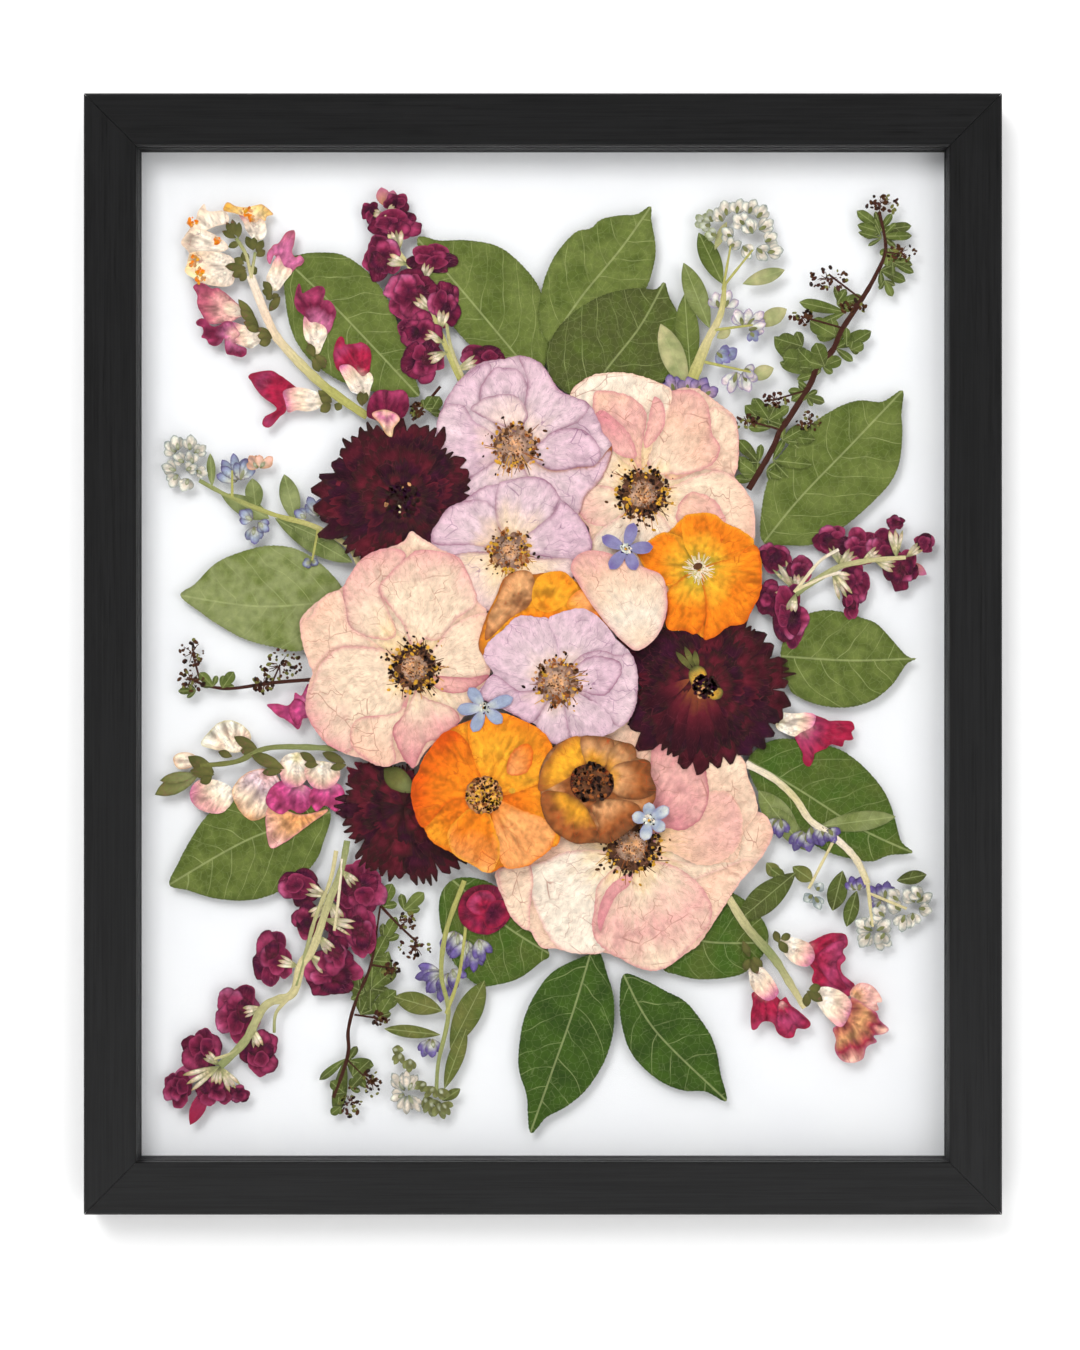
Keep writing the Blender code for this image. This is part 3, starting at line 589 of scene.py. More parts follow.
def petal_creases(shader, given):
    """Fine veins that run out from a petal's root, and paper-like mottling."""
    veins = given["Veins"]
    warp = shader.noise(veins, 2.2, 1.0)
    swayed = shader.add("ShaderNodeVectorMath", {"operation": "MULTIPLY_ADD"}, i0=warp, i1=(0.18, 0.3, 0), i2=veins)
    rays = shader.noise(shader.stretched(swayed.outputs[0], 26, 0.9, 1), 1.0, 1.0)
    line = shader.math("ABSOLUTE", shader.math("SUBTRACT", rays, 0.5))
    fine = shader.between(line, 0.0, 0.03, 1.0, 0.0)
    cracks = shader.add("ShaderNodeTexVoronoi", {"feature": "DISTANCE_TO_EDGE"}, Scale=1.0)
    shader.tree.links.new(shader.stretched(swayed.outputs[0], 3.6, 0.8, 1), cracks.inputs["Vector"])
    crack = shader.between(cracks.outputs["Distance"], 0.0, 0.022, 1.0, 0.0)
    broken = shader.between(shader.noise(given["Place"], 90.0, 1.0), 0.42, 0.62)
    vein = shader.math("MAXIMUM", shader.math("MULTIPLY", fine, 0.45), shader.math("MULTIPLY", crack, broken))
    vein = shader.math("MULTIPLY", vein, given["Strength"])
    mottle = shader.noise(given["Place"], 420.0, 2.0, 0.65)
    shaded = shader.mix(vein, given["Tint"], given["Vein"])
    light = shader.between(mottle, 0.25, 0.75, 0.86, 1.03)
    result = shader.mix(1.0, shaded, light, "MULTIPLY")
    height = shader.math("SUBTRACT", shader.math("MULTIPLY", mottle, 0.35), shader.math("MULTIPLY", vein, 0.9))
    return result, height


def leaf_veins(shader, given):
    """A pale midrib with curved side veins and a fine net between them."""
    parts = shader.add("ShaderNodeSeparateXYZ", Vector=given["Veins"])
    along, side = parts.outputs[0], parts.outputs[1]
    away = shader.math("ABSOLUTE", side)
    sway = shader.math("MULTIPLY", shader.math("SUBTRACT", shader.noise(given["Place"], 48.0, 1.0), 0.5), 1.2)
    half = shader.math("MULTIPLY", shader.math("GREATER_THAN", side, 0.0), 0.45)
    lean = shader.math("MULTIPLY", away, shader.math("ADD", 0.5, shader.math("MULTIPLY", away, 0.18)))
    count = shader.math("ADD", shader.math("SUBTRACT", along, lean), shader.math("ADD", sway, half))
    part = shader.math("FRACT", shader.math("DIVIDE", count, 1.25))
    part = shader.math("ABSOLUTE", shader.math("SUBTRACT", part, 0.5))
    worn = shader.between(shader.noise(given["Place"], 110.0, 1.0), 0.3, 0.6, 0.35, 1.0)
    ribs = shader.math("MULTIPLY", shader.between(part, 0.006, 0.032, 1.0, 0.0), worn)
    midrib = shader.between(away, 0.03, 0.065, 1.0, 0.0)
    net = shader.add("ShaderNodeTexVoronoi", {"feature": "DISTANCE_TO_EDGE"}, Scale=3.0)
    shader.tree.links.new(given["Veins"], net.inputs["Vector"])
    fine = shader.between(net.outputs["Distance"], 0.0, 0.045, 0.36, 0.0)
    vein = shader.math("MAXIMUM", shader.math("MAXIMUM", ribs, midrib), fine)
    vein = shader.math("MULTIPLY", vein, given["Strength"])
    mottle = shader.noise(given["Place"], 300.0, 2.0, 0.6)
    shaded = shader.mix(vein, given["Tint"], given["Vein"])
    result = shader.mix(1.0, shaded, shader.between(mottle, 0.25, 0.75, 0.84, 1.1), "MULTIPLY")
    height = shader.math("SUBTRACT", shader.math("MULTIPLY", mottle, 0.4), shader.math("MULTIPLY", vein, -0.8))
    return result, height


def stalk_fibres(shader, given):
    """Fibres that run along a stem."""
    fibres = shader.noise(shader.stretched(given["Veins"], 2.5, 0.6, 1), 2.0, 3.0)
    specks = shader.noise(given["Place"], 900.0, 2.0)
    light = shader.between(shader.math("ADD", fibres, shader.math("MULTIPLY", specks, 0.6)), 0.5, 1.1, 0.72, 1.14)
    return shader.mix(1.0, given["Tint"], light, "MULTIPLY"), fibres


DRIED_GROUPS = {
    PETAL: ("Petal creases", petal_creases, 0.72, 0.7),
    LEAF: ("Leaf veins", leaf_veins, 0.52, 0.6),
    STALK: ("Stalk fibres", stalk_fibres, 0.0, 0.75),
}
VEIN_COLOURS = {
    "peach_petals": (0.4, 0.16, 0.12), "lilac_petals": (0.25, 0.1, 0.2), "orange_petals": (0.5, 0.06, 0.005),
    "burgundy_petals": (0.13, 0.018, 0.03), "maroon_florets": (0.3, 0.06, 0.12),
    "crimson_florets": (0.3, 0.06, 0.1), "pale_florets": (0.24, 0.28, 0.26), "blue_florets": (0.22, 0.22, 0.42),
}
LEAF_VEIN = (0.36, 0.4, 0.17)


def dried_finish(kind, slot):
    """The material of petals, leaves or stalks: the tint of each piece under its veins."""
    name, build, strength, roughness = DRIED_GROUPS[kind]
    vein = (*VEIN_COLOURS.get(slot, LEAF_VEIN), 1) if kind == PETAL else (*LEAF_VEIN, 1)
    group_name = name
    if kind == PETAL:
        name = f"{name}, {slot.replace('_', ' ')}"
    known = bpy.data.materials.get(name)
    if known:
        return known
    made = bpy.data.materials.new(name)
    made.use_nodes = True
    shader = Shader(made.node_tree)
    inputs = (("Tint", "colour"), ("Veins", "vector"), ("Place", "vector"), ("Vein", "colour"), ("Strength", "value"))
    tree = group(group_name, inputs, (("Color", "colour"), ("Height", "value")), build)
    pattern = made.node_tree.nodes.new("ShaderNodeGroup")
    pattern.node_tree = tree
    links = made.node_tree.links
    links.new(shader.add("ShaderNodeVertexColor", {"layer_name": "Tint"}).outputs[0], pattern.inputs["Tint"])
    links.new(shader.add("ShaderNodeUVMap", {"uv_map": "Veins"}).outputs[0], pattern.inputs["Veins"])
    links.new(shader.add("ShaderNodeTexCoord").outputs["Object"], pattern.inputs["Place"])
    pattern.inputs["Vein"].default_value = vein
    pattern.inputs["Strength"].default_value = strength
    bump = shader.add("ShaderNodeBump", Height=pattern.outputs["Height"], Strength=0.5, Distance=0.15 * MM)
    surface = made.node_tree.nodes["Principled BSDF"]
    surface.inputs["Roughness"].default_value = roughness
    surface.inputs["Specular IOR Level"].default_value = 0.25
    links.new(pattern.outputs["Color"], surface.inputs["Base Color"])
    links.new(bump.outputs[0], surface.inputs["Normal"])
    return made


def plain_material(name, roughness, metallic=0.0):
    """A new material and its nodes."""
    made = bpy.data.materials.new(name)
    made.use_nodes = True
    surface = made.node_tree.nodes["Principled BSDF"]
    surface.inputs["Roughness"].default_value = roughness
    surface.inputs["Metallic"].default_value = metallic
    return made, Shader(made.node_tree), surface


def dress(node, made):
    """Give a node of the frame its material."""
    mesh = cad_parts[node].data
    mesh.materials.clear()
    mesh.materials.append(made)


def black_wood(name, along_x):
    """Black-stained wood with its grain along the rail."""
    made, shader, surface = plain_material(name, 0.42)
    place = shader.add("ShaderNodeTexCoord").outputs["Object"]
    squeeze = (14, 900, 900) if along_x else (900, 900, 14)
    grain = shader.noise(shader.stretched(place, *squeeze), 1.0, 2.0, 0.6)
    pores = shader.noise(shader.stretched(place, *(v * 2.5 for v in squeeze)), 1.0, 1.0)
    ramp = shader.between(grain, 0.3, 0.72)
    stain = shader.mix(ramp, (0.009, 0.009, 0.0092, 1), (0.0135, 0.0135, 0.014, 1))
    dark = shader.between(pores, 0.3, 0.42, 0.6, 1.0)
    shader.tree.links.new(shader.mix(1.0, stain, dark, "MULTIPLY"), surface.inputs["Base Color"])
    shader.tree.links.new(shader.between(grain, 0.3, 0.7, 0.56, 0.48), surface.inputs["Roughness"])
    bump = shader.add("ShaderNodeBump", Height=shader.math("ADD", grain, pores), Strength=0.25, Distance=0.05 * MM)
    shader.tree.links.new(bump.outputs[0], surface.inputs["Normal"])
    return made


def paper_like(name, low, high, scale, roughness, squeeze=(1, 1, 1)):
    """A board, card or paint: a colour that varies a little, with a fine tooth."""
    made, shader, surface = plain_material(name, roughness)
    place = shader.stretched(shader.add("ShaderNodeTexCoord").outputs["Object"], *squeeze)
    tooth = shader.noise(place, scale, 1.0, 0.65)
    broad = shader.noise(place, scale / 40, 1.0)
    blend = shader.math("MULTIPLY", shader.math("ADD", tooth, broad), 0.5)
    shader.tree.links.new(shader.mix(shader.between(blend, 0.3, 0.7), low, high), surface.inputs["Base Color"])
    bump = shader.add("ShaderNodeBump", Height=tooth, Strength=0.2, Distance=0.1 * MM)
    shader.tree.links.new(bump.outputs[0], surface.inputs["Normal"])
    return made


def clear_pane(name):
    """Clear glass that lets the light through to what it covers."""
    made, shader, surface = plain_material(name, 0.0)
    surface.inputs["Base Color"].default_value = (1, 1, 1, 1)
    surface.inputs["Transmission Weight"].default_value = 1
    surface.inputs["IOR"].default_value = 1.45
    surface.inputs["Specular IOR Level"].default_value = 0.12
    clear = shader.add("ShaderNodeBsdfTransparent")
    path = shader.add("ShaderNodeLightPath")
    blend = shader.add("ShaderNodeMixShader")
    links = made.node_tree.links
    soft = shader.math("MAXIMUM", path.outputs["Is Shadow Ray"], path.outputs["Is Diffuse Ray"])
    links.new(soft, blend.inputs[0])
    links.new(surface.outputs[0], blend.inputs[1])
    links.new(clear.outputs[0], blend.inputs[2])
    links.new(blend.outputs[0], made.node_tree.nodes["Material Output"].inputs["Surface"])
    return made


def zinc(name):
    """Zinc-plated steel with soft spangles."""
    made, shader, surface = plain_material(name, 0.38, 1.0)
    place = shader.add("ShaderNodeTexCoord").outputs["Object"]
    spangle = shader.noise(place, 700.0, 3.0)
    shader.tree.links.new(
        shader.mix(spangle, (0.42, 0.43, 0.45, 1), (0.7, 0.71, 0.73, 1)), surface.inputs["Base Color"]
    )
    shader.tree.links.new(shader.between(spangle, 0.3, 0.7, 0.3, 0.5), surface.inputs["Roughness"])
    return made


class FinishFrame(bpy.types.Operator):
    """Finish the rails, panes, spacers, board, back and hanger"""

    bl_idname = "pressed.finish_frame"
    bl_label = "Frame and Panes"

    def execute(self, context):
        across, upright = black_wood("Black wood across", True), black_wood("Black wood upright", False)
        for node, made in (
            ("rail_top", across), ("rail_bottom", across), ("rail_left", upright), ("rail_right", upright),
            ("front_glass", clear_pane("Front pane")), ("rear_glass", clear_pane("Rear pane")),
            ("front_spacer", paper_like("Front spacer", (0.01, 0.01, 0.011, 1), (0.03, 0.03, 0.032, 1), 900, 0.7)),
            ("rear_spacer", paper_like("Rear spacer", (0.01, 0.01, 0.011, 1), (0.03, 0.03, 0.032, 1), 800, 0.7)),
            ("mount_board", paper_like("White card", (0.91, 0.92, 0.94, 1), (0.95, 0.96, 0.97, 1), 1200, 0.85)),
            ("back_panel", paper_like("Fibreboard", (0.19, 0.115, 0.065, 1), (0.25, 0.155, 0.09, 1), 900, 0.7)),
            ("hanger", zinc("Zinc steel")),
        ):
            dress(node, made)
        return {"FINISHED"}


# Leaves: tones, vein spacing, midrib from the base to the tip, and the outline
LEAVES = (
    ("leaf_1", "leaf meadow", 1.0, "288,262 340,312 419,396", "284,262 300,254 320,252 341,254 360,265 376,281 "
     "388,300 397,322 407,350 414,375 419,395 400,396 372,391 345,383 322,370 303,352 291,330 285,300"),
    ("leaf_2", "leaf meadow", 1.0, "535,378 470,300 417,238", "417,238 440,240 470,240 500,247 525,268 540,290 548,320 "
     "548,352 535,378 505,366 470,345 443,312 427,275"),
    ("leaf_3", "leaf meadow leaf", 1.0, "558,330 583,294 620,249 650,207", "650,206 636,214 620,215 601,219 590,228 "
     "575,232 558,250 548,268 541,290 538,320 550,342 590,335 625,315 645,290 654,262 655,244 651,220"),
    ("leaf_4", "leaf moss leaf", 1.0, "590,394 607,368 639,327 663,284", "664,282 655,289 636,288 612,292 592,300 "
     "572,313 556,330 546,352 549,375 565,392 590,402 630,397 662,382 682,345 678,316 669,297"),
    ("leaf_5", "leaf meadow", 1.0, "765,540 800,497 850,445 902,390", "902,390 882,401 858,400 835,408 805,428 "
     "780,454 769,474 761,509 762,541 788,545 812,544 835,532 853,519 874,500 890,482 899,462 902,433 901,414"),
    ("leaf_6", "meadow leaf meadow", 1.0, "785,656 850,660 916,658", "916,658 906,655 888,635 876,623 861,617 "
     "840,611 820,610 798,618 785,636 780,656 788,686 797,696 820,705 847,707 872,700 892,684 906,664"),
    ("leaf_7", "fresh leaf", 1.0, "752,762 800,790 860,828 912,852", "912,852 901,841 895,820 888,799 876,780 "
     "855,759 831,746 780,738 752,752 748,768 760,795 785,825 820,848 845,857 871,861 888,855"),
    ("leaf_8", "meadow sage meadow", 1.0, "345,600 260,606 180,595", "180,595 195,583 215,563 239,552 269,545 300,550 "
     "330,572 347,600 335,630 302,650 275,647 245,639 219,625 199,611"),
    ("leaf_9", "meadow leaf meadow", 1.0, "329,812 250,838 169,884", "169,884 178,862 189,841 204,818 221,804 250,796 "
     "290,796 329,809 322,845 315,861 299,878 272,894 246,900 215,898 188,890"),
    ("leaf_10", "leaf fresh", 1.0, "455,882 505,925 549,953", "549,953 540,962 520,977 498,984 476,984 452,960 "
     "440,925 440,895 455,878 485,880 515,900 535,925"),
    ("leaf_11", "fresh leaf", 1.0, "642,915 700,940 768,942", "640,930 661,967 676,974 702,979 740,974 762,955 "
     "768,933 757,912 736,894 700,880 660,890 642,908"),
    ("leaf_12", "fresh deep", 1.0, "590,953 573,1010 552,1070 530,1132", "590,953 600,953 607,974 613,994 614,1016 "
     "612,1037 603,1063 586,1089 566,1106 546,1117 530,1132 526,1095 519,1072 518,1052 523,1020 535,993 554,970"),
    ("leaf_13", "fresh deep", 1.0, "623,974 655,1030 726,1100", "623,974 644,979 665,990 684,1000 699,1017 "
     "711,1036 717,1054 720,1072 726,1100 705,1091 684,1090 664,1083 645,1069 630,1051 622,1028 619,1003"),
)


class AddLeaves(bpy.types.Operator):
    """Add the thirteen leaves"""

    bl_idname = "pressed.add_leaves"
    bl_label = "Leaves"

    def execute(self, context):
        for node, tones, gap, rib, outline in LEAVES:
            piece = Specimen(node)
            piece.leaf(places(outline), places(rib), tones, serrated=0.45, vein_gap=gap)
            piece.finish("dried_leaf")
        return {"FINISHED"}


def rose_heart(piece, centre, disc, ring, dots, count):
    """A mottled disc in a ring of withered stamens, with dark anthers round it."""
    centre = places(centre)[0]
    disc = disc * PX
    piece.hairs(centre, disc * 0.8, disc * 1.75, count // 2, "gold umber rust", 1.0)
    disc_sheet(piece, centre, disc * 1.06, ring, 1.3)
    piece.grains(centre, disc * 0.68, disc * 1.3, count * 2, dots, (0.35, 1.0))
    piece.grains(centre, disc * 1.25, disc * 1.8, count // 3, "soot umber soot gold", (0.25, 0.75))
    disc_sheet(piece, centre, disc * 0.66, "fuzz tan fuzz umber", 0.9)
    piece.grains(centre, 0, disc * 0.68, count * 2, "fuzz rust umber fuzz tan", (0.22, 0.5), 0.35)


def disc_sheet(piece, centre, radius, tones, ragged):
    """Lay a crumpled disc with a ragged edge."""
    turns = np.arange(14) / 14 * 2 * math.pi
    outline = centre + np.stack([np.cos(turns), np.sin(turns)], axis=1) * radius
    piece.sheet(outline, centre, tones, None, crumple=0.8, folds=1.2, streaks=0.9, step=1.0 * MM, ragged=ragged)


# Roses: tones, the edge's tone and the outline of each petal, from the rearmost to the front one
PEACH_ROSES = {
    "peach_rose_1": ("642,494", 21, (
        ("butter cream peach cream", "blush", "570,394 577,384 591,376 607,373 627,374 646,380 667,391 682,388 "
         "698,389 713,400 727,410 735,419 738,442 737,465 733,475 742,488 751,501 753,521 753,540 735,560 "
         "710,580 680,596 640,596 600,592 566,584 572,560 589,531 575,515 562,480 572,450 564,420"),
        ("butter peach cream", "pink", "711,407 733,418 738,442 734,474 714,471 700,470 670,480 660,460 690,430"),
        ("butter cream peach blush", "pink", "650,470 640,430 654,397 690,390 707,404 711,432 719,446 714,462 "
         "694,472 675,474"),
        ("butter cream ivory", "peach", "640,470 612,450 590,420 570,394 591,376 607,373 627,373 654,381 671,392 "
         "664,424 654,442"),
        ("butter peach blush peach", "pink", "640,475 630,456 600,440 593,395 615,392 635,400 646,416 641,447"),
        ("blush blush pink", "pink", "596,413 604,411 620,424 630,436 636,455 628,458 614,452 602,440 597,426"),
        ("peach blush", "pink", "654,397 662,403 665,416 663,428 654,441 645,448 643,440 647,424 650,408"),
        ("butter cream cream peach", "blush", "650,500 678,483 714,471 734,478 747,494 753,507 753,534 735,554 "
         "700,548 670,530"),
        ("blush peach blush", "pink", "679,524 677,508 682,498 692,492 703,494 714,500 721,510 722,524"),
        ("butter cream blush", "pink", "636,500 617,489 590,485 576,500 580,515 592,524 612,525 632,515"),
        ("butter cream ivory cream", "blush", "640,505 612,520 592,540 590,560 620,562 655,560 672,545 668,525 "
         "655,510"),
    )),
    "peach_rose_2": ("414.4,667.6", 20, (
        ("butter cream peach cream", "blush", "301,619 317,602 340,589 349,579 361,566 369,555 390,547 404,541 "
         "411,531 422,538 442,550 454,555 465,568 472,582 477,600 487,612 486,643 490,671 474,700 460,721 442,736 "
         "426,750 415,766 404,761 390,764 376,764 361,757 344,752 322,734 310,720 306,702 310,680 313,671 "
         "306,652 302,636"),
        ("butter cream blush", "pink", "396,628 389,639 366,636 350,626 345,603 343,591 348,578 363,558 386,548 "
         "406,555 388,585 380,590"),
        ("butter cream cream blush", "pink", "414,655 404,626 380,591 388,575 406,558 418,550 439,551 459,558 "
         "471,581 476,603 456,619 439,639 423,640"),
        ("butter cream peach", "blush", "400,660 366,636 350,626 345,603 338,590 320,600 311,616 301,620 303,644 "
         "313,669 320,661 336,648 355,646 388,650"),
        ("butter cream cream peach", "blush", "425,665 439,641 456,623 487,613 488,640 487,669 492,671 469,678 "
         "439,677"),
        ("butter cream cream blush", "pink", "410,668 388,650 355,646 338,648 321,663 315,678 307,699 308,716 "
         "323,739 340,750 351,750 361,734 393,724 404,702"),
        ("butter blush pink", "rose", "432,676 469,677 489,674 480,684 462,692 440,690"),
        ("butter cream peach", "pink", "410,690 404,702 396,712 361,717 351,729 352,745 363,756 384,766 396,759 "
         "393,736 404,716"),
        ("butter cream blush pink", "rose", "418,685 424,696 452,707 459,722 440,738 428,741 419,756 413,767 "
         "403,757 396,742 393,727 406,711"),
    )),
    "peach_rose_3": ("631,846", 23, (
        ("butter cream peach cream", "blush", "495,871 506,906 515,921 530,931 540,946 556,948 583,953 599,951 "
         "619,957 636,966 652,970 657,964 670,964 680,956 700,941 732,892 744,876 757,861 771,838 771,826 "
         "764,814 756,809 754,793 747,775 742,758 715,735 680,718 650,706 622,712 600,735 575,780 545,830 520,862"),
        ("butter cream cream peach", "blush", "640,850 680,880 712,872 744,860 757,861 771,838 771,826 764,814 "
         "752,812 742,812 735,830 720,850 690,862"),
        ("cream peach cream", "peach", "640,840 650,760 655,725 690,723 715,735 742,758 747,775 754,793 756,812 "
         "744,830 736,858 722,862 700,864 672,852"),
        ("butter peach blush", "peach", "645,846 680,800 722,790 738,805 742,828 736,848 718,862 700,864 690,861 "
         "668,850"),
        ("blush pink blush rose", "rose", "650,846 645,800 650,760 655,735 690,735 700,750 708,790 702,815 690,826 "
         "680,830 662,828"),
        ("butter ivory ivory", "blush", "628,855 606,850 570,850 545,860 525,868 529,890 545,930 560,948 583,953 "
         "605,948 612,905 625,880"),
        ("butter cream blush cream", "pink", "632,858 600,880 594,905 592,930 600,945 619,957 636,966 652,970 "
         "670,964 690,945 708,925 711,905 700,885 680,868 655,860"),
        ("peach cream", "pink", "497,872 512,866 528,862 533,880 530,905 528,929 515,921 506,906"),
        ("blush pink", "pink", "632,872 615,880 604,893 597,915 600,930 606,915 616,895 628,885"),
    )),
}

LILAC_ROSES = {
    "lilac_rose_1": ("514.4,446", 19, (
        ("cream mist lilac mist", "mauve", "436,430 443,406 454,387 463,377 472,368 486,361 504,359 519,356 "
         "535,360 545,369 558,389 573,397 588,404 597,418 602,432 611,444 610,459 600,478 585,496 577,514 "
         "550,520 515,530 480,520 455,500 446,465"),
        ("cream mist lilac", "mauve", "505,440 470,425 444,408 454,387 463,377 486,363 491,372 480,400"),
        ("cream mist lilac", "mauve", "512,440 480,400 491,371 504,368 518,370 527,385 528,401 526,411"),
        ("cream mist lilac", "mauve", "518,440 527,385 519,358 535,360 545,369 558,389 573,397 588,404 580,420 "
         "556,432 535,446"),
        ("cream lilac mist", "mauve", "505,446 488,430 474,421 462,405 444,408 436,430 446,465 470,478 495,462"),
        ("cream mist", "mauve", "514,430 472,411 480,401 491,396 514,395 527,411 525,422"),
        ("cream mist lilac lilac", "mauve", "520,448 535,446 554,431 579,429 596,442 600,459 593,466 579,467 "
         "550,470"),
        ("cream mist lilac", "rust", "520,455 550,470 579,467 593,466 600,459 611,446 610,459 600,480 585,496 "
         "577,514 550,512 530,490"),
        ("cream mist lilac", "mauve", "512,455 495,462 470,478 455,500 480,520 515,528 540,515 530,480"),
    )),
    "lilac_rose_2": ("509,551", 17, (
        ("butter mist lilac mist", "mauve", "431,537 437,524 446,510 461,502 483,487 499,484 519,478 535,477 "
         "548,482 558,496 574,511 587,530 591,550 573,560 568,585 545,600 509,612 470,604 442,580"),
        ("butter mist lilac", "mauve", "505,548 470,545 438,545 431,537 437,524 446,510 461,502 483,500 497,512 "
         "500,530"),
        ("butter cream mist lilac", "mauve", "509,548 498,525 495,505 499,484 519,478 535,477 548,482 558,496 "
         "552,515 530,535"),
        ("butter mist lilac lilac", "mauve", "514,550 530,532 552,515 560,503 574,511 587,530 591,550 573,560 "
         "540,556"),
        ("butter cream mist", "mauve", "512,555 540,558 573,560 568,585 545,600 525,590"),
        ("butter cream lilac", "mauve", "505,556 470,552 440,560 442,580 470,604 509,612 515,585"),
    )),
    "lilac_rose_3": ("557,682", 19, (
        ("cream mist lilac mist", "lilac", "485,660 487,644 502,630 518,616 537,617 548,619 561,612 579,608 "
         "591,612 602,621 614,637 630,653 637,674 634,708 620,726 604,735 580,742 552,742 536,724 514,714 "
         "480,696 479,689 493,674"),
        ("cream lilac lilac", "mauve", "552,686 520,690 493,674 480,696 500,705 514,714 532,722 545,705"),
        ("cream mist lilac", "lilac", "550,684 505,672 485,660 487,644 502,630 518,616 537,617 548,619 556,640 "
         "558,662"),
        ("cream mist lilac", "lilac", "560,664 556,640 548,619 561,612 579,608 591,612 602,621 614,637 610,645 "
         "590,650 575,664"),
        ("cream lilac mist", "mauve", "566,674 580,655 600,650 618,655 630,653 637,674 634,708 620,726 605,715 "
         "590,700 575,690"),
        ("cream mist lilac lilac", "mauve", "566,678 582,660 598,655 618,661 621,670 617,680 608,692 600,695 "
         "580,690"),
        ("cream mist lilac", "lilac", "565,694 580,697 600,705 612,722 604,735 580,742 574,742 568,720"),
        ("cream mist lilac", "mauve", "560,698 566,715 568,740 552,742 536,726 545,705"),
    )),
}

ORANGE_POPPIES = {
    "orange_poppy_1": ("698,568", 12, (
        ("lime lime amber orange orange orange", "amber", "637,555 649,540 667,532 682,518 698,513 713,514 725,523 "
         "742,531 753,543 760,558 761,576 759,593 751,610 743,623 728,626 716,635 703,638 696,633 683,630 670,630 "
         "665,623 667,608 666,585"),
        ("lime lime amber orange orange flame", "amber", "698,568 664,585 637,555 649,540 667,532 690,545"),
        ("lime lime amber orange orange orange", "flame", "698,570 668,590 667,608 665,623 670,630 683,630 696,633 "
         "706,610"),
        ("lime lime amber orange orange orange", "amber", "700,566 684,545 682,518 698,513 713,514 725,523 742,531 "
         "753,543 730,560"),
        ("lime lime amber orange orange orange", "flame", "702,570 730,558 755,545 761,576 759,593 751,610 743,623 "
         "728,626 716,635 703,638 706,610"),
    )),
    "orange_poppy_2": ("484,794", 15, (
        ("flame orange amber", "flame", "412,783 418,771 427,752 448,730 471,719 500,712 521,719 541,730 552,746 "
         "558,770 560,835 550,847 537,858 524,865 504,865 490,871 473,864 455,853 433,841 424,826 413,804"),
        ("orange orange flame", "flame", "484,794 450,800 424,826 413,804 412,783 418,771 427,752 448,730 470,745"),
        ("orange amber orange", "orange", "490,790 470,745 471,719 500,712 521,719 541,730 552,746 556,770 520,790"),
        ("orange apricot apricot", "orange", "494,800 520,808 545,818 556,826 550,847 537,858 524,865 504,865 "
         "495,840"),
        ("orange orange apricot", "amber", "480,802 450,826 452,850 473,864 490,871 500,850 492,820"),
        ("orange apricot orange", "flame", "507,772 509,756 517,746 528,743 533,752 529,768 520,774"),
    )),
}

WITHERED_POPPIES = {
    "orange_poppy_3": (
        ("rust orange amber orange", "rust", 0.5, "545,640", "480,651 484,622 496,596 504,578 521,570 532,574 "
         "561,571 573,580 589,590 604,615 612,645 598,668 560,675 510,672"),
        ("umber tan tan rust", "rust", 0.7, "520,600", "486,640 488,618 498,596 505,578 521,570 532,574 534,590 "
         "528,606 510,618"),
        ("orange amber orange", "amber", 0.5, "545,610", "532,590 540,575 561,571 573,580 578,592 566,604 548,612 "
         "534,606"),
        ("amber apricot orange", "orange", 0.5, "562,606", "566,604 578,590 590,594 596,604 600,616 590,614 "
         "576,612"),
    ),
    "orange_poppy_4": (
        ("umber rust tan rust", "umber", 0.6, "591,781", "539,783 541,765 552,747 570,737 596,735 614,739 630,744 "
         "636,756 648,760 650,774 655,790 650,805 622,834 597,841 578,841 559,834 546,818"),
        ("umber amber amber rust", "rust", 0.4, "590,776", "541,790 541,770 550,755 562,741 577,735 584,745 "
         "583,765"),
        ("umber amber tan rust", "umber", 0.4, "590,772", "580,737 598,736 612,739 612,755 600,768 586,764"),
        ("umber amber tan rust", "umber", 0.4, "598,776", "606,768 608,752 618,742 632,744 635,757 622,764 610,772"),
        ("amber tan rust umber", "umber", 0.5, "605,778", "606,782 612,766 628,760 648,760 650,774 655,790 640,798 "
         "620,796"),
        ("umber tan rust umber", "umber", 0.8, "600,790", "590,806 604,798 630,800 640,808 638,820 622,834 606,842 "
         "592,838 598,824"),
        ("umber amber rust rust", "umber", 0.5, "585,792", "546,820 540,800 545,790 566,792 582,802 590,814 596,828 "
         "590,840 575,842 560,834"),
    ),
}


def bloom(node, centre, petals, slot, heart, streaks=0.35):
    """Lay an open flower from its rearmost petal to the front one, and then its heart."""
    piece = Specimen(node)
    root = places(centre)[0]
    for tones, rim, outline in petals:
        piece.sheet(places(outline), root, tones, rim, 0.8, 0.16, folds=1.1, streaks=streaks, ragged=0.3)
    heart(piece)
    return piece.finish(slot)


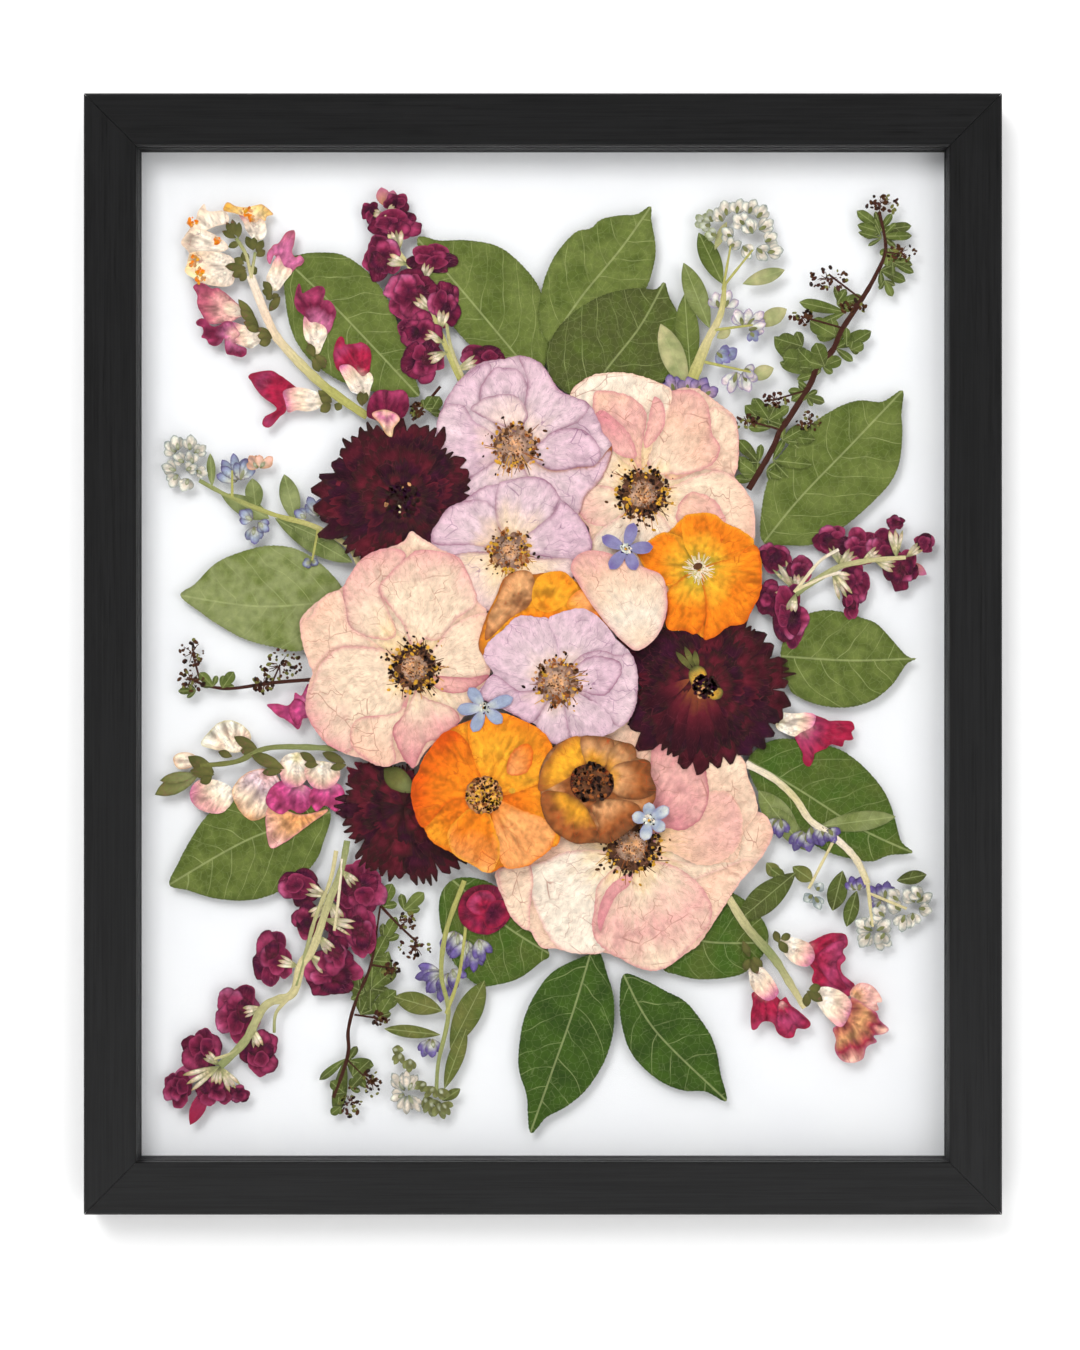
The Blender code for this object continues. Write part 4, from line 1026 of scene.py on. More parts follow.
class AddPeachRoses(bpy.types.Operator):
    """Add the three peach roses and the loose petal"""

    bl_idname = "pressed.add_peach_roses"
    bl_label = "Peach Roses"

    def execute(self, context):
        for node, (centre, disc, petals) in PEACH_ROSES.items():
            bloom(
                node, centre, petals, "peach_petals",
                lambda piece: rose_heart(piece, centre, disc, "soot umber soot", "soot umber soot gold", 80),
            )
        piece = Specimen("peach_petal")
        outline = places("570,567 580,553 600,551 625,560 645,568 661,576 666,595 665,615 656,636 638,650 624,643 "
                         "606,624 588,600 577,582")
        piece.sheet(outline, places("640,640")[0], "cream ivory cream peach blush", "pink", 1.6, crumple=0.15, folds=1)
        piece.finish("peach_petals")
        return {"FINISHED"}


class AddLilacRoses(bpy.types.Operator):
    """Add the three lilac roses"""

    bl_idname = "pressed.add_lilac_roses"
    bl_label = "Lilac Roses"

    def execute(self, context):
        for node, (centre, disc, petals) in LILAC_ROSES.items():
            bloom(
                node, centre, petals, "lilac_petals",
                lambda piece: rose_heart(piece, centre, disc, "umber fuzz umber", "umber tan gold rust", 50),
            )
        return {"FINISHED"}


def poppy_heart(piece):
    """Cream stamens round a brown dot, or a mottled seed head."""
    if piece.node == "orange_poppy_1":
        centre = places("698,569")[0]
        piece.hairs(centre, 3 * PX, 17 * PX, 60, "ivory straw cream", 1.1)
        piece.grains(centre, 0, 9 * PX, 30, "ivory straw", (0.3, 0.6))
        piece.bead(places("697,566")[0], 3.6 * PX, colour("umber"), 0.5, 1.4, 0.3, 0.1)
        return
    centre = places("484,794")[0]
    disc_sheet(piece, centre, 18.5 * PX, "rust gold tan umber", 0.6)
    piece.grains(centre, 0, 18 * PX, 240, "gold umber tan rust", (0.3, 0.8), 0.4, 0.05)
    piece.grains(centre, 0, 18 * PX, 60, "soot umber", (0.3, 0.7), 0.5, 0.1)
    piece.bead(places("512,789.5")[0], 3 * PX, colour("gold"), 0.4, 1.2)


class AddOrangePoppies(bpy.types.Operator):
    """Add the two open poppies and the two withered ones"""

    bl_idname = "pressed.add_orange_poppies"
    bl_label = "Orange Poppies"

    def execute(self, context):
        for node, (centre, disc, petals) in ORANGE_POPPIES.items():
            bloom(node, centre, petals, "orange_petals", poppy_heart, 1.0)
        for node, petals in WITHERED_POPPIES.items():
            piece = Specimen(node)
            for tones, rim, crumple, root, outline in petals:
                piece.sheet(places(outline), places(root)[0], tones, rim, 1.4, crumple, folds=1.0, streaks=0.5)
            if node == "orange_poppy_4":
                centre = places("591,781")[0]
                piece.sheet(
                    places("570,778 574,768 586,763 600,765 611,774 613,786 606,797 592,800 578,797 571,789"),
                    centre, "soot umber soot", "soot", 0.8, 0.8, folds=1.0,
                )
                piece.grains(centre, 0, 20 * PX, 120, "soot umber rust soot", (0.5, 1.1), 0.5, 0.05)
            piece.finish("orange_petals")
        return {"FINISHED"}


# Dark blooms: centre, the reach of the petals as pixels of their tips, disc and petals in a ring
BURGUNDY_BLOOMS = {
    "burgundy_bloom_1": (
        "403,500", "345,435 370,421 395,414 420,420 447,429 460,448 472,462 480,474 477,488 466,508 456,532 "
        "436,555 420,562 390,568 361,562 333,545 320,528 315,518 313,498 312,482 324,463 333,446", 18, 15),
    "burgundy_bloom_2": (
        "704,686", "626,668 614,640 640,622 674,618 695,626 706,626 730,616 749,613 768,632 783,654 793,674 790,694 "
        "783,718 770,738 752,752 736,760 716,770 690,772 664,756 646,744 622,728 625,704 632,684", 12, 17),
    "burgundy_bloom_3": (
        "404,806", "356,756 340,768 333,790 334,812 344,839 349,853 363,869 384,878 410,886 430,882 458,877 "
        "467,862 460,835 446,805 425,778 400,762", 0, 13),
}
# Tones and edge tone of the dark petals: the soot edges are partly the petals' own dark edges and partly painted shade
# along each petal's edge
BURGUNDY_TONES = (
    ("burgundy wine burgundy", "soot"), ("soot burgundy wine burgundy", "soot"), ("plum burgundy plum", "soot"),
    ("burgundy plum burgundy", "wine"), ("soot wine wine burgundy", "soot"), ("plum plum burgundy", "soot"),
)


def fringed(piece, base, tip, width, tones, rim):
    """Lay a dark petal that widens to a jagged tip."""
    along = tip - base
    side = np.array((-along[1], along[0])) / np.linalg.norm(along) * width
    spots = [(0.02, -0.06), (0.45, -0.32), (0.7, -0.47), (0.87, -0.5)]
    teeth = piece.random.choice((2, 3, 3, 4))
    for k in range(teeth):
        at = -0.44 + 0.88 * (k + 0.5) / teeth + piece.random.uniform(-0.04, 0.04)
        drop = 0.08 * (2 * at) ** 2
        crest = 1.0 - drop + piece.random.uniform(-0.06, 0.04)
        spots += [(crest, at - 0.1 / teeth), (crest - 0.01, at + 0.14 / teeth)]
        if k < teeth - 1:
            spots += [(0.92 - drop - piece.random.uniform(0, 0.06), at + 0.44 / teeth)]
    spots += [(0.87, 0.5), (0.7, 0.47), (0.45, 0.32), (0.02, 0.06)]
    outline = np.array([base + along * far + side * wide for far, wide in spots])
    piece.sheet(
        outline, base, tones, rim, 0.6, crumple=0.35, folds=1.2, streaks=1.5, ragged=0.25, step=1.8 * MM, curve=False,
    )


class AddBurgundyBlooms(bpy.types.Operator):
    """Add the three dark blooms with jagged petals"""

    bl_idname = "pressed.add_burgundy_blooms"
    bl_label = "Burgundy Blooms"

    def execute(self, context):
        for node, (centre, tips, disc, petals) in BURGUNDY_BLOOMS.items():
            piece = Specimen(node)
            root = places(centre)[0]
            tips = places(tips)
            piece.sheet(root + (tips - root) * 0.66, root, "burgundy plum soot", None, crumple=0.3, streaks=0.9)
            angles = np.arctan2(*(tips - root).T[::-1])
            reach = np.linalg.norm(tips - root, axis=1)
            order = np.argsort(angles)
            around = piece.random.sample(range(petals), petals)
            piece.rise = 0.25
            for ring, share in ((0, 1.02), (1, 0.88), (2, 0.7), (3, 0.52), (4, 0.36)):
                for i in around:
                    angle = (i + 0.5 * ring + piece.random.uniform(-0.3, 0.3)) / petals * 2 * math.pi - math.pi
                    far = np.interp(angle, angles[order], reach[order], period=2 * math.pi)
                    if far < 12 * MM:
                        continue
                    far *= share * piece.random.uniform(0.92, 1.03)
                    out = np.array((math.cos(angle), math.sin(angle)))
                    tones, rim = piece.random.choice(BURGUNDY_TONES)
                    width = far * piece.random.uniform(0.34, 0.44)
                    fringed(piece, root, root + out * far, width, tones, rim)
            piece.rise = 1.0
            if disc:
                piece.grains(root, 0, disc * PX, 90, "soot burgundy plum soot", (0.5, 1.2), 0.4)
                piece.grains(root, 0, disc * PX, 7, "tan straw", (0.5, 1.0), 0.4, 0.05)
            if node == "burgundy_bloom_2":
                add_blades(piece, (
                    ("rust wine burgundy burgundy", "692,682 655,738,13 693,684 672,756,15 696,686 690,764,14 "
                     "700,688 710,758,15 704,688 726,738,13 690,678 645,706,13"),
                    ("moss olive moss", "692,670 675,651,6 694,668 684,646,6 697,668 694,650,6"),
                ), PETAL)
                for outline in ("688,672 696,665 704,669 706,680 700,689 692,686", "706,688 714,685 722,690 720,697 "
                                "712,699 706,694"):
                    piece.sheet(places(outline), root, "olive gold olive", "moss", 0.6, 0.5, step=1.0 * MM)
            if node == "burgundy_bloom_3":
                piece.blade(*places("414,792 384,768"), 22 * PX, "sage olive moss", "moss", fullest=0.6)
            piece.finish("burgundy_petals")
        return {"FINISHED"}


# Stars: tones, centre and petal tips
BLUE_STARS = (
    ("blue_star_1", "sky periwinkle periwinkle violet", "625,549", "601,537 633,523 652,547 635,570 609,569"),
    ("blue_star_2", "frost sky sky", "484,707", "469,687 513,697 502,722 473,731 457,709"),
    ("blue_star_3", "frost sky frost", "648,819", "648,801 668,806 664,828 643,839 631,814"),
)


class AddBlueStars(bpy.types.Operator):
    """Add the three small blue stars"""

    bl_idname = "pressed.add_blue_stars"
    bl_label = "Blue Stars"

    def execute(self, context):
        for node, tones, centre, tips in BLUE_STARS:
            piece = Specimen(node)
            middle = places(centre)[0]
            for tip in places(tips):
                piece.blade(
                    middle, tip, 12.5 * PX, tones, "periwinkle", fullest=0.62, point=0.0, step=0.8 * MM,
                    rim_width=0.4, ragged=0,
                )
            piece.grains(middle, 0, 5 * PX, 16, "frost ivory frost", (0.5, 0.8))
            piece.grains(middle, 4 * PX, 6 * PX, 7, "indigo soot", (0.3, 0.5))
            piece.bead(middle, 1.6 * PX, colour("gold"), 0.6, height=0.12)
            piece.finish("blue_florets")
        return {"FINISHED"}


def add_stems(piece, stems, height=0.14):
    """Lay stems: widths, tones and the line of each."""
    for widths, tones, line in stems:
        piece.stalk(places(line), widths, tones, height)


def add_blades(piece, blades, finish=LEAF, rim=None):
    """Lay small leaves or sepals: tones, and rows of base, tip and width in pixels."""
    for tones, rows in blades:
        for base_x, base_y, tip_x, tip_y, width in numbers(rows, 5):
            ends = places(f"{base_x},{base_y} {tip_x},{tip_y}")
            if finish == LEAF:
                piece.blade(*ends, width * PX, tones, finish=LEAF, step=1.2 * MM, vein_gap=0.5)
            else:
                piece.blade(*ends, width * PX, tones, rim, rim_width=0.35, step=1.0 * MM, ragged=0.1)


def ruffle(piece, box, tone_sets, lobes=9):
    """Lay a crumpled floret that fills a box of the picture: left, right, top, bottom."""
    left, right, top, bottom = box
    middle = places(f"{(left + right) / 2},{(top + bottom) / 2}")[0]
    half = np.array((right - left, bottom - top)) / 2 * PX * 1.06
    start = piece.random.uniform(0, 2 * math.pi)
    for i in range(lobes):
        inner = i >= lobes - 4
        angle = start + 2.4 * i
        out = np.array((math.cos(angle), math.sin(angle))) * half
        share = piece.random.uniform(0.46, 0.6) * (0.75 if inner else 1.0)
        centre = middle + out * (0.3 if inner else 1.02 - share)
        spots = []
        for k in range(9):
            turn = 2 * math.pi * k / 9
            swell = piece.random.uniform(0.78, 1.1) * share
            spots.append(centre + np.array((math.cos(turn), math.sin(turn))) * half * swell)
        tones, rim = piece.random.choice(tone_sets)
        piece.sheet(
            np.array(spots), middle + out * 0.15, tones, rim, 0.5, crumple=0.5, folds=1.2, streaks=1.0,
            step=1.0 * MM, ragged=0.25,
        )


# Tones and edge tone of the ruffled florets: the magenta and orchid tones and edges are partly the florets' own pink
# and partly a painted highlight on their crumpled petals
MAROON_RUFFLES = (
    ("soot plum maroon maroon", "plum"), ("plum maroon magenta maroon", "plum"), ("plum maroon plum", "magenta"),
    ("plum maroon maroon magenta", "magenta"), ("plum maroon magenta orchid", "plum"),
    ("soot maroon plum maroon", "soot"),
)

# How far from its floret's middle, in pixels of the picture, a pale sepal starts on the stem
CALYX_REACH = 26


def calyx(piece, lines, middle):
    """Lay three thin pale sepals that leave the stem below a floret and end on it."""
    points = np.concatenate([flowing(places(line), 1.5 * MM) for _, _, line in lines])
    rootwards = 1 if piece.node == "stock_1" else -1
    start = nearest(middle[None], points)[1][0]
    away = np.linalg.norm(points - middle, axis=1)
    while away[start] < CALYX_REACH * PX and 0 < start < len(points) - 1:
        start += rootwards
    base = points[start]
    out = (middle - base) * 0.8
    for turn in (-0.25, 0.0, 0.22):
        tip = (out[0] * math.cos(turn) - out[1] * math.sin(turn), out[0] * math.sin(turn) + out[1] * math.cos(turn))
        piece.blade(base, base + tip, piece.random.uniform(3, 5.5) * PX, "sage straw ivory tan", "sage", fullest=0.7,
                    point=0.6, streaks=1.2, rim_width=0.3, step=1.0 * MM)


STOCKS = {
    "stock_1": (
        (((4, 6), "straw stem", "385,215 391,240 411,269 426,296 445,345 460,380"),
         ((3, 4), "sage straw", "444,300 450,345 466,384")),
        "361,379,200,224 384,409,192,215 367,423,209,240 362,402,234,281 406,456,244,274 384,438,267,320 "
        "428,461,281,328 397,443,312,352 402,444,338,384 461,504,343,371",
        (("tan orchid", "385,206 381,187,14 390,206 393,190,12"),),
    ),
    "stock_2": (
        (((7, 4), "sage straw", "795,593 815,580 840,566 870,560 905,557"),
         ((4, 3), "straw ivory", "794,592 818,562 838,549"), ((4, 3), "straw ivory", "796,590 822,577 840,572")),
        "756,790,542,572 785,813,555,583 753,787,578,618 811,850,524,556 836,878,528,566 838,870,558,604 "
        "841,859,590,618 866,900,528,566 882,918,545,591 885,904,514,530 913,934,532,553 772,807,584,648",
        (("tan orchid", "905,562 926,574,11"),),
    ),
    "stock_3": (
        (((6, 9, 8), "sage straw sage", "347,840 341,869 328,903 313,947 301,964 292,993 265,1005 245,1040 "
          "220,1065"), ((4, 4), "straw sage", "336,850 330,880 316,915 306,950 296,985"),
         ((3, 3), "ivory straw", "342,858 338,900 334,930"), ((4, 3), "straw sage", "290,996 276,1012 274,1032"),
         ((3, 3), "sage straw", "245,1040 232,1052 214,1058")),
        "278,322,867,905 291,322,901,938 322,362,900,948 332,386,861,915 345,378,905,955 252,293,931,985 "
        "300,362,950,995 318,352,935,975 215,261,982,1045 240,280,1029,1074 182,221,1027,1075 195,234,1070,1106 "
        "229,250,1084,1103 163,192,1070,1106",
        (("magenta orchid", "205,1062 170,1086,20"), ("magenta crimson", "208,1085 190,1124,15")),
    ),
}


class AddStocks(bpy.types.Operator):
    """Add the three stems of ruffled dark florets"""

    bl_idname = "pressed.add_stocks"
    bl_label = "Stocks"

    def execute(self, context):
        for node, (stems, florets, buds) in STOCKS.items():
            piece = Specimen(node)
            add_blades(piece, buds, PETAL)
            if node == "stock_1":
                add_stems(piece, stems, 0.04)
            for box in numbers(florets, 4):
                left, right, top, bottom = box
                ruffle(piece, box, MAROON_RUFFLES)
                calyx(piece, stems[:1], places(f"{(left + right) / 2},{(top + bottom) / 2}")[0])
            if node != "stock_1":
                add_stems(piece, stems)
            piece.finish("maroon_florets")
        return {"FINISHED"}


# Snapdragons: stems; petals as tones, rim, crumple, root and outline; sepals; and orange spots
LIPS = "blush orchid maroon magenta maroon"
PINK_LIPS = "blush orchid fuchsia magenta fuchsia"
RED_LIPS = "blush crimson crimson magenta crimson"
TUBE = "straw ivory ivory cream blush orchid"
SNAPDRAGONS = {
    "snapdragon_1": (
        (((8, 9, 9, 8), "ivory cream straw stem stem", "250,275 270,325 284,346 314,377 339,397 367,416"),
         ((3, 4), "straw sage", "251,278 246,255 236,238"), ((3, 3), "straw sage", "251,278 255,252")),
        (
            ("ivory ivory cream", "cream", 0.1, "228,240", "204,204 208,211 225,211 228,222 216,226 203,231 "
             "195,229 184,237 190,228 195,221 198,211"),
            ("ivory ivory cream", "cream", 0.1, "230,250", "184,237 195,228 212,233 226,243 226,250 203,255 "
             "192,256 187,250 181,243"),
            ("ivory ivory cream butter", "cream", 0.1, "236,266", "190,253 203,251 223,253 236,262 234,280 228,286 "
             "211,285 197,280 185,272 187,263"),
            (TUBE, "straw", 0.15, "258,240", "239,214 243,222 246,230 253,238 260,240 266,234 265,222 260,217 "
             "251,218"),
            ("cream butter gold", "tan", 0.3, "252,222", "223,210 227,202 236,206 246,207 256,205 261,204 266,207 "
             "273,214 267,216 265,221 260,218 256,222 251,221 243,216 234,213"),
            ("blush orchid orchid rose", "rose", 0.3, "276,276", "292,230 295,232 294,243 292,251 295,257 300,255 304,260 301,265 "
             "296,267 290,274 284,270 279,262 274,255 270,264 267,260 267,253 273,245 279,242 286,232"),
            (TUBE, "straw", 0.15, "274,292", "278,255 270,268 266,280 272,290 279,289 285,281 292,272 290,268 "
             "284,266"),
            (LIPS, "magenta", 0.35, "315,335", "299,283 301,288 302,293 308,290 316,286 322,286 325,290 324,296 "
             "323,300 329,300 334,306 336,313 334,319 332,326 329,332 326,334 322,328 316,325 312,326 303,315 "
             "297,310 294,302 295,294 297,286"),
            (TUBE, "straw", 0.15, "316,354", "304,316 303,329 305,339 309,344 313,353 319,353 323,344 327,333 "
             "324,326 316,322 310,322"),
            (RED_LIPS, "crimson", 0.35, "362,378", "341,336 344,339 345,344 349,344 356,343 361,342 368,346 371,354 "
             "370,366 368,373 363,378 356,373 352,366 345,367 341,371 336,368 333,356 334,347 337,339"),
            (TUBE, "straw", 0.15, "366,399", "339,367 344,379 351,391 358,394 363,396 368,398 371,386 373,378 "
             "369,372 362,376 352,366 345,364"),
            ("blush blush rose magenta", "magenta", 0.35, "240,312", "193,287 197,283 203,283 211,288 218,288 227,294 237,303 244,309 "
             "244,315 237,318 231,322 221,323 211,324 206,321 201,313 197,304 197,295"),
            ("straw ivory cream blush", "blush", 0.1, "250,314", "222,304 231,301 243,308 247,314 237,317 226,314"),
            (LIPS, "magenta", 0.35, "236,334", "196,321 197,325 202,327 203,332 201,337 206,339 209,344 215,346 "
             "221,343 224,338 225,349 227,354 233,355 241,357 246,354 246,348 238,345 235,342 236,339 240,334 "
             "237,329 233,322 225,321 219,325 212,326 203,318"),
            (TUBE, "straw", 0.15, "264,336", "233,322 241,324 253,328 263,333 263,338 258,344 251,348 243,346 "
             "234,342 236,338 240,335 237,329"),
            (RED_LIPS, "crimson", 0.35, "300,394", "248,377 250,374 256,372 270,370 280,375 287,380 296,387 295,391 "
             "287,392 284,396 287,404 285,412 280,416 271,426 265,427 262,423 265,416 276,410 274,405 263,397 "
             "256,389 251,381"),
            (TUBE, "straw", 0.15, "328,402", "283,391 296,387 309,389 319,393 325,401 319,408 308,411 296,410 "
             "288,412 285,402"),
        ),
        (("olive moss", "253,250 246,236,8 253,250 254,237,8 256,252 263,240,8 256,256 265,250,8 248,262 242,252,9 "
          "246,268 225,266,9 246,270 232,276,9 246,272 240,281,8 249,272 257,268,10 244,264 234,258,8 236,238 "
          "222,231,7 234,236 226,222,7 236,236 232,219,7 238,238 239,222,7 240,242 228,247,7 272,292 263,281,8 "
          "272,294 262,290,8 273,293 277,299,8 272,294 266,299,8 280,296 269,311,9 314,357 308,343,9 316,354 "
          "325,368,12 313,358 319,372,9 362,406 360,391,9 364,404 366,392,7"),
         ("moss olive", "256,322 238,299,9 258,324 240,310,10 259,326 243,322,9 262,330 246,327,8 272,338 258,327,8 "
          "272,338 257,335,9 271,340 259,344,9 332,402 318,390,9 332,402 320,398,9 331,404 320,411,10 334,404 "
          "342,408,9")),
        "192,222,5 216,240,4 194,258,4 200,278,5 246,211,5 251,218,3 193,264,3 199,272,4",
    ),
    "snapdragon_2": (
        (((5, 6), "olive sage", "200,765 236,761 271,747 338,748"),),
        (
            ("ivory cream frost", "straw", 0.25, "236,752", "201,744 208,732 219,722 232,720 244,726 251,736 "
             "246,748 236,752 220,750"),
            ("ivory cream", "tan", 0.2, "200,762", "173,758 180,752 192,753 198,760 190,767 178,768"),
            (TUBE, "tan", 0.2, "240,776", "190,790 198,780 214,779 230,786 234,798 222,812 204,811 192,802"),
            ("blush mist cream tan", "tan", 0.35, "268,770", "232,790 244,774 262,768 276,774 281,792 270,812 "
             "252,820 238,808"),
            ("apricot tan blush", "pink", 0.3, "300,808", "268,806 300,814 328,809 309,824 284,842 269,845"),
            (PINK_LIPS, "magenta", 0.35, "300,778", "266,803 270,788 284,779 298,782 312,790 310,806 300,813 "
             "290,809 280,814"),
            (TUBE, "straw", 0.15, "296,756", "279,766 285,755 300,752 308,760 308,776 298,786 284,784"),
            (PINK_LIPS, "magenta", 0.35, "330,778", "309,798 314,786 328,782 341,785 345,800 336,811 325,805 "
             "316,811"),
            (TUBE, "straw", 0.15, "322,760", "304,770 312,761 326,761 338,766 339,778 328,788 312,786"),
        ),
        (("sage olive", "200,772 155,794,18 196,774 160,780,12"),
         ("olive moss", "214,772 188,756,14 214,774 190,770,12 212,776 200,782,10 232,756 218,751,8 258,750 "
          "234,736,11 258,752 240,750,10 284,768 250,753,13 282,770 262,772,9 316,762 300,752,9 318,764 304,764,8 "
          "345,762 322,752,10 346,764 330,768,8")),
        "",
    ),
    "snapdragon_3": (
        (((8, 9, 6), "straw sage straw", "728,897 747,927 773,957 789,982 804,1007"),),
        (
            (RED_LIPS, "crimson", 0.4, "762,985", "751,993 756,991 765,997 774,994 780,999 785,996 790,1004 798,1010 "
             "808,1019 810,1024 805,1028 796,1028 793,1036 785,1037 777,1032 772,1022 762,1021 756,1028 751,1028 "
             "750,1015 752,1002"),
            ("blush crimson magenta crimson", "maroon", 0.5, "778,1000", "780,1000 790,1006 798,1012 806,1020 "
             "800,1027 792,1024 786,1034 778,1030 776,1014"),
            (TUBE, "straw", 0.15, "750,960", "748,966 753,959 762,966 772,978 778,992 768,1000 757,994 750,984"),
            (RED_LIPS, "crimson", 0.4, "800,955", "806,944 814,939 824,934 834,932 845,934 847,944 842,950 845,958 "
             "840,965 842,973 850,980 854,984 852,992 845,996 837,992 827,990 818,986 811,980 813,970 808,962"),
            ("crimson magenta crimson", "maroon", 0.5, "816,956", "816,956 828,944 842,940 842,952 836,962 840,976 "
             "846,988 834,986 822,972"),
            (TUBE, "straw", 0.15, "782,944", "777,940 786,936 798,938 810,944 814,956 808,965 796,964 786,956"),
            ("peach tan blush peach", "pink", 0.35, "850,1000", "849,992 855,984 863,982 873,986 879,994 881,1001 "
             "876,1002 878,1009 870,1010 860,1002 852,999"),
            ("blush crimson tan crimson peach", "orchid", 0.4, "835,1008", "850,997 860,1001 868,1007 876,1012 "
             "879,1019 888,1028 883,1033 873,1035 876,1041 866,1046 862,1058 850,1062 839,1058 834,1048 835,1038 "
             "832,1028 840,1022 848,1012"),
            (TUBE, "straw", 0.15, "814,994", "812,992 820,986 832,987 844,993 851,1003 847,1018 840,1026 830,1020 "
             "820,1008"),
        ),
        (("olive moss", "750,958 757,973,9 748,958 744,970,8 752,956 762,966,8 778,940 787,952,9 778,942 774,930,8 "
          "780,938 790,934,8 806,990 822,1000,10 806,992 806,1006,9 808,988 820,986,9 742,940 749,956,8"),),
        "",
    ),
    "snapdragon_4": (
        (),
        (
            ("blush magenta crimson crimson", "crimson", 0.3, "796,722", "806,713 813,714 824,718 829,720 840,720 "
             "851,721 854,728 851,732 853,738 849,740 844,740 842,746 836,745 830,744 825,748 818,751 814,753 "
             "813,759 809,766 804,764 802,759 802,753 798,745 794,736 795,730 804,722"),
            (TUBE, "straw", 0.15, "774,722", "775,714 783,712 794,713 806,712 815,715 812,726 800,732 794,736 "
             "783,732 776,727"),
        ),
        (), "",
    ),
    "snapdragon_5": (
        (),
        (
            (PINK_LIPS, "magenta", 0.45, "312,706", "267,704 277,703 287,705 293,700 295,692 301,695 305,688 308,683 "
             "311,691 310,704 310,716 303,718 301,724 298,729 292,724 285,719 277,715 271,709"),
            ("orchid fuchsia magenta", "maroon", 0.45, "308,708", "289,706 296,698 304,702 309,712 302,717 298,725 "
             "291,718"),
        ),
        (), "",
    ),
    "snapdragon_6": (
        (),
        (
            ("peach maroon maroon magenta", "maroon", 0.5, "384,430", "367,416 368,404 373,394 382,390 392,391 "
             "402,390 408,396 409,408 404,417 394,421 382,422 374,420"),
            ("peach orchid peach straw", "tan", 0.2, "386,412", "372,414 384,410 396,414 400,420 394,428 392,437 "
             "386,434 380,424"),
        ),
        (), "",
    ),
    "snapdragon_7": (
        (),
        (
            ("plum crimson maroon crimson", "maroon", 0.5, "486,908", "458,906 464,892 476,885 490,884 504,890 "
             "513,902 510,916 500,928 486,934 470,930 460,920"),
            ("plum crimson magenta crimson", "crimson", 0.5, "484,906", "466,904 474,892 488,890 496,900 490,912 "
             "476,914"),
            ("plum maroon crimson", "crimson", 0.5, "492,912", "484,912 494,900 508,902 508,914 498,926 486,926"),
        ),
        (), "",
    ),
}


class AddSnapdragons(bpy.types.Operator):
    """Add the snapdragons, on their stems and loose"""

    bl_idname = "pressed.add_snapdragons"
    bl_label = "Snapdragons"

    def execute(self, context):
        for node, (stems, petals, sepals, spots) in SNAPDRAGONS.items():
            piece = Specimen(node)
            add_stems(piece, stems)
            for tones, rim, crumple, root, outline in petals:
                piece.sheet(
                    places(outline), places(root)[0], tones, None if tones == TUBE else rim, 0.5, crumple + 0.1,
                    folds=1.3, streaks=1.2, step=1.0 * MM,
                )
            add_blades(piece, sepals, PETAL, "moss")
            for x, z, radius in numbers(spots, 3):
                piece.grains(places(f"{x},{z}")[0], 0, radius * PX, 14, "orange amber tan", (0.4, 0.9), 0.15, 0.03)
            piece.finish("crimson_florets")
        return {"FINISHED"}


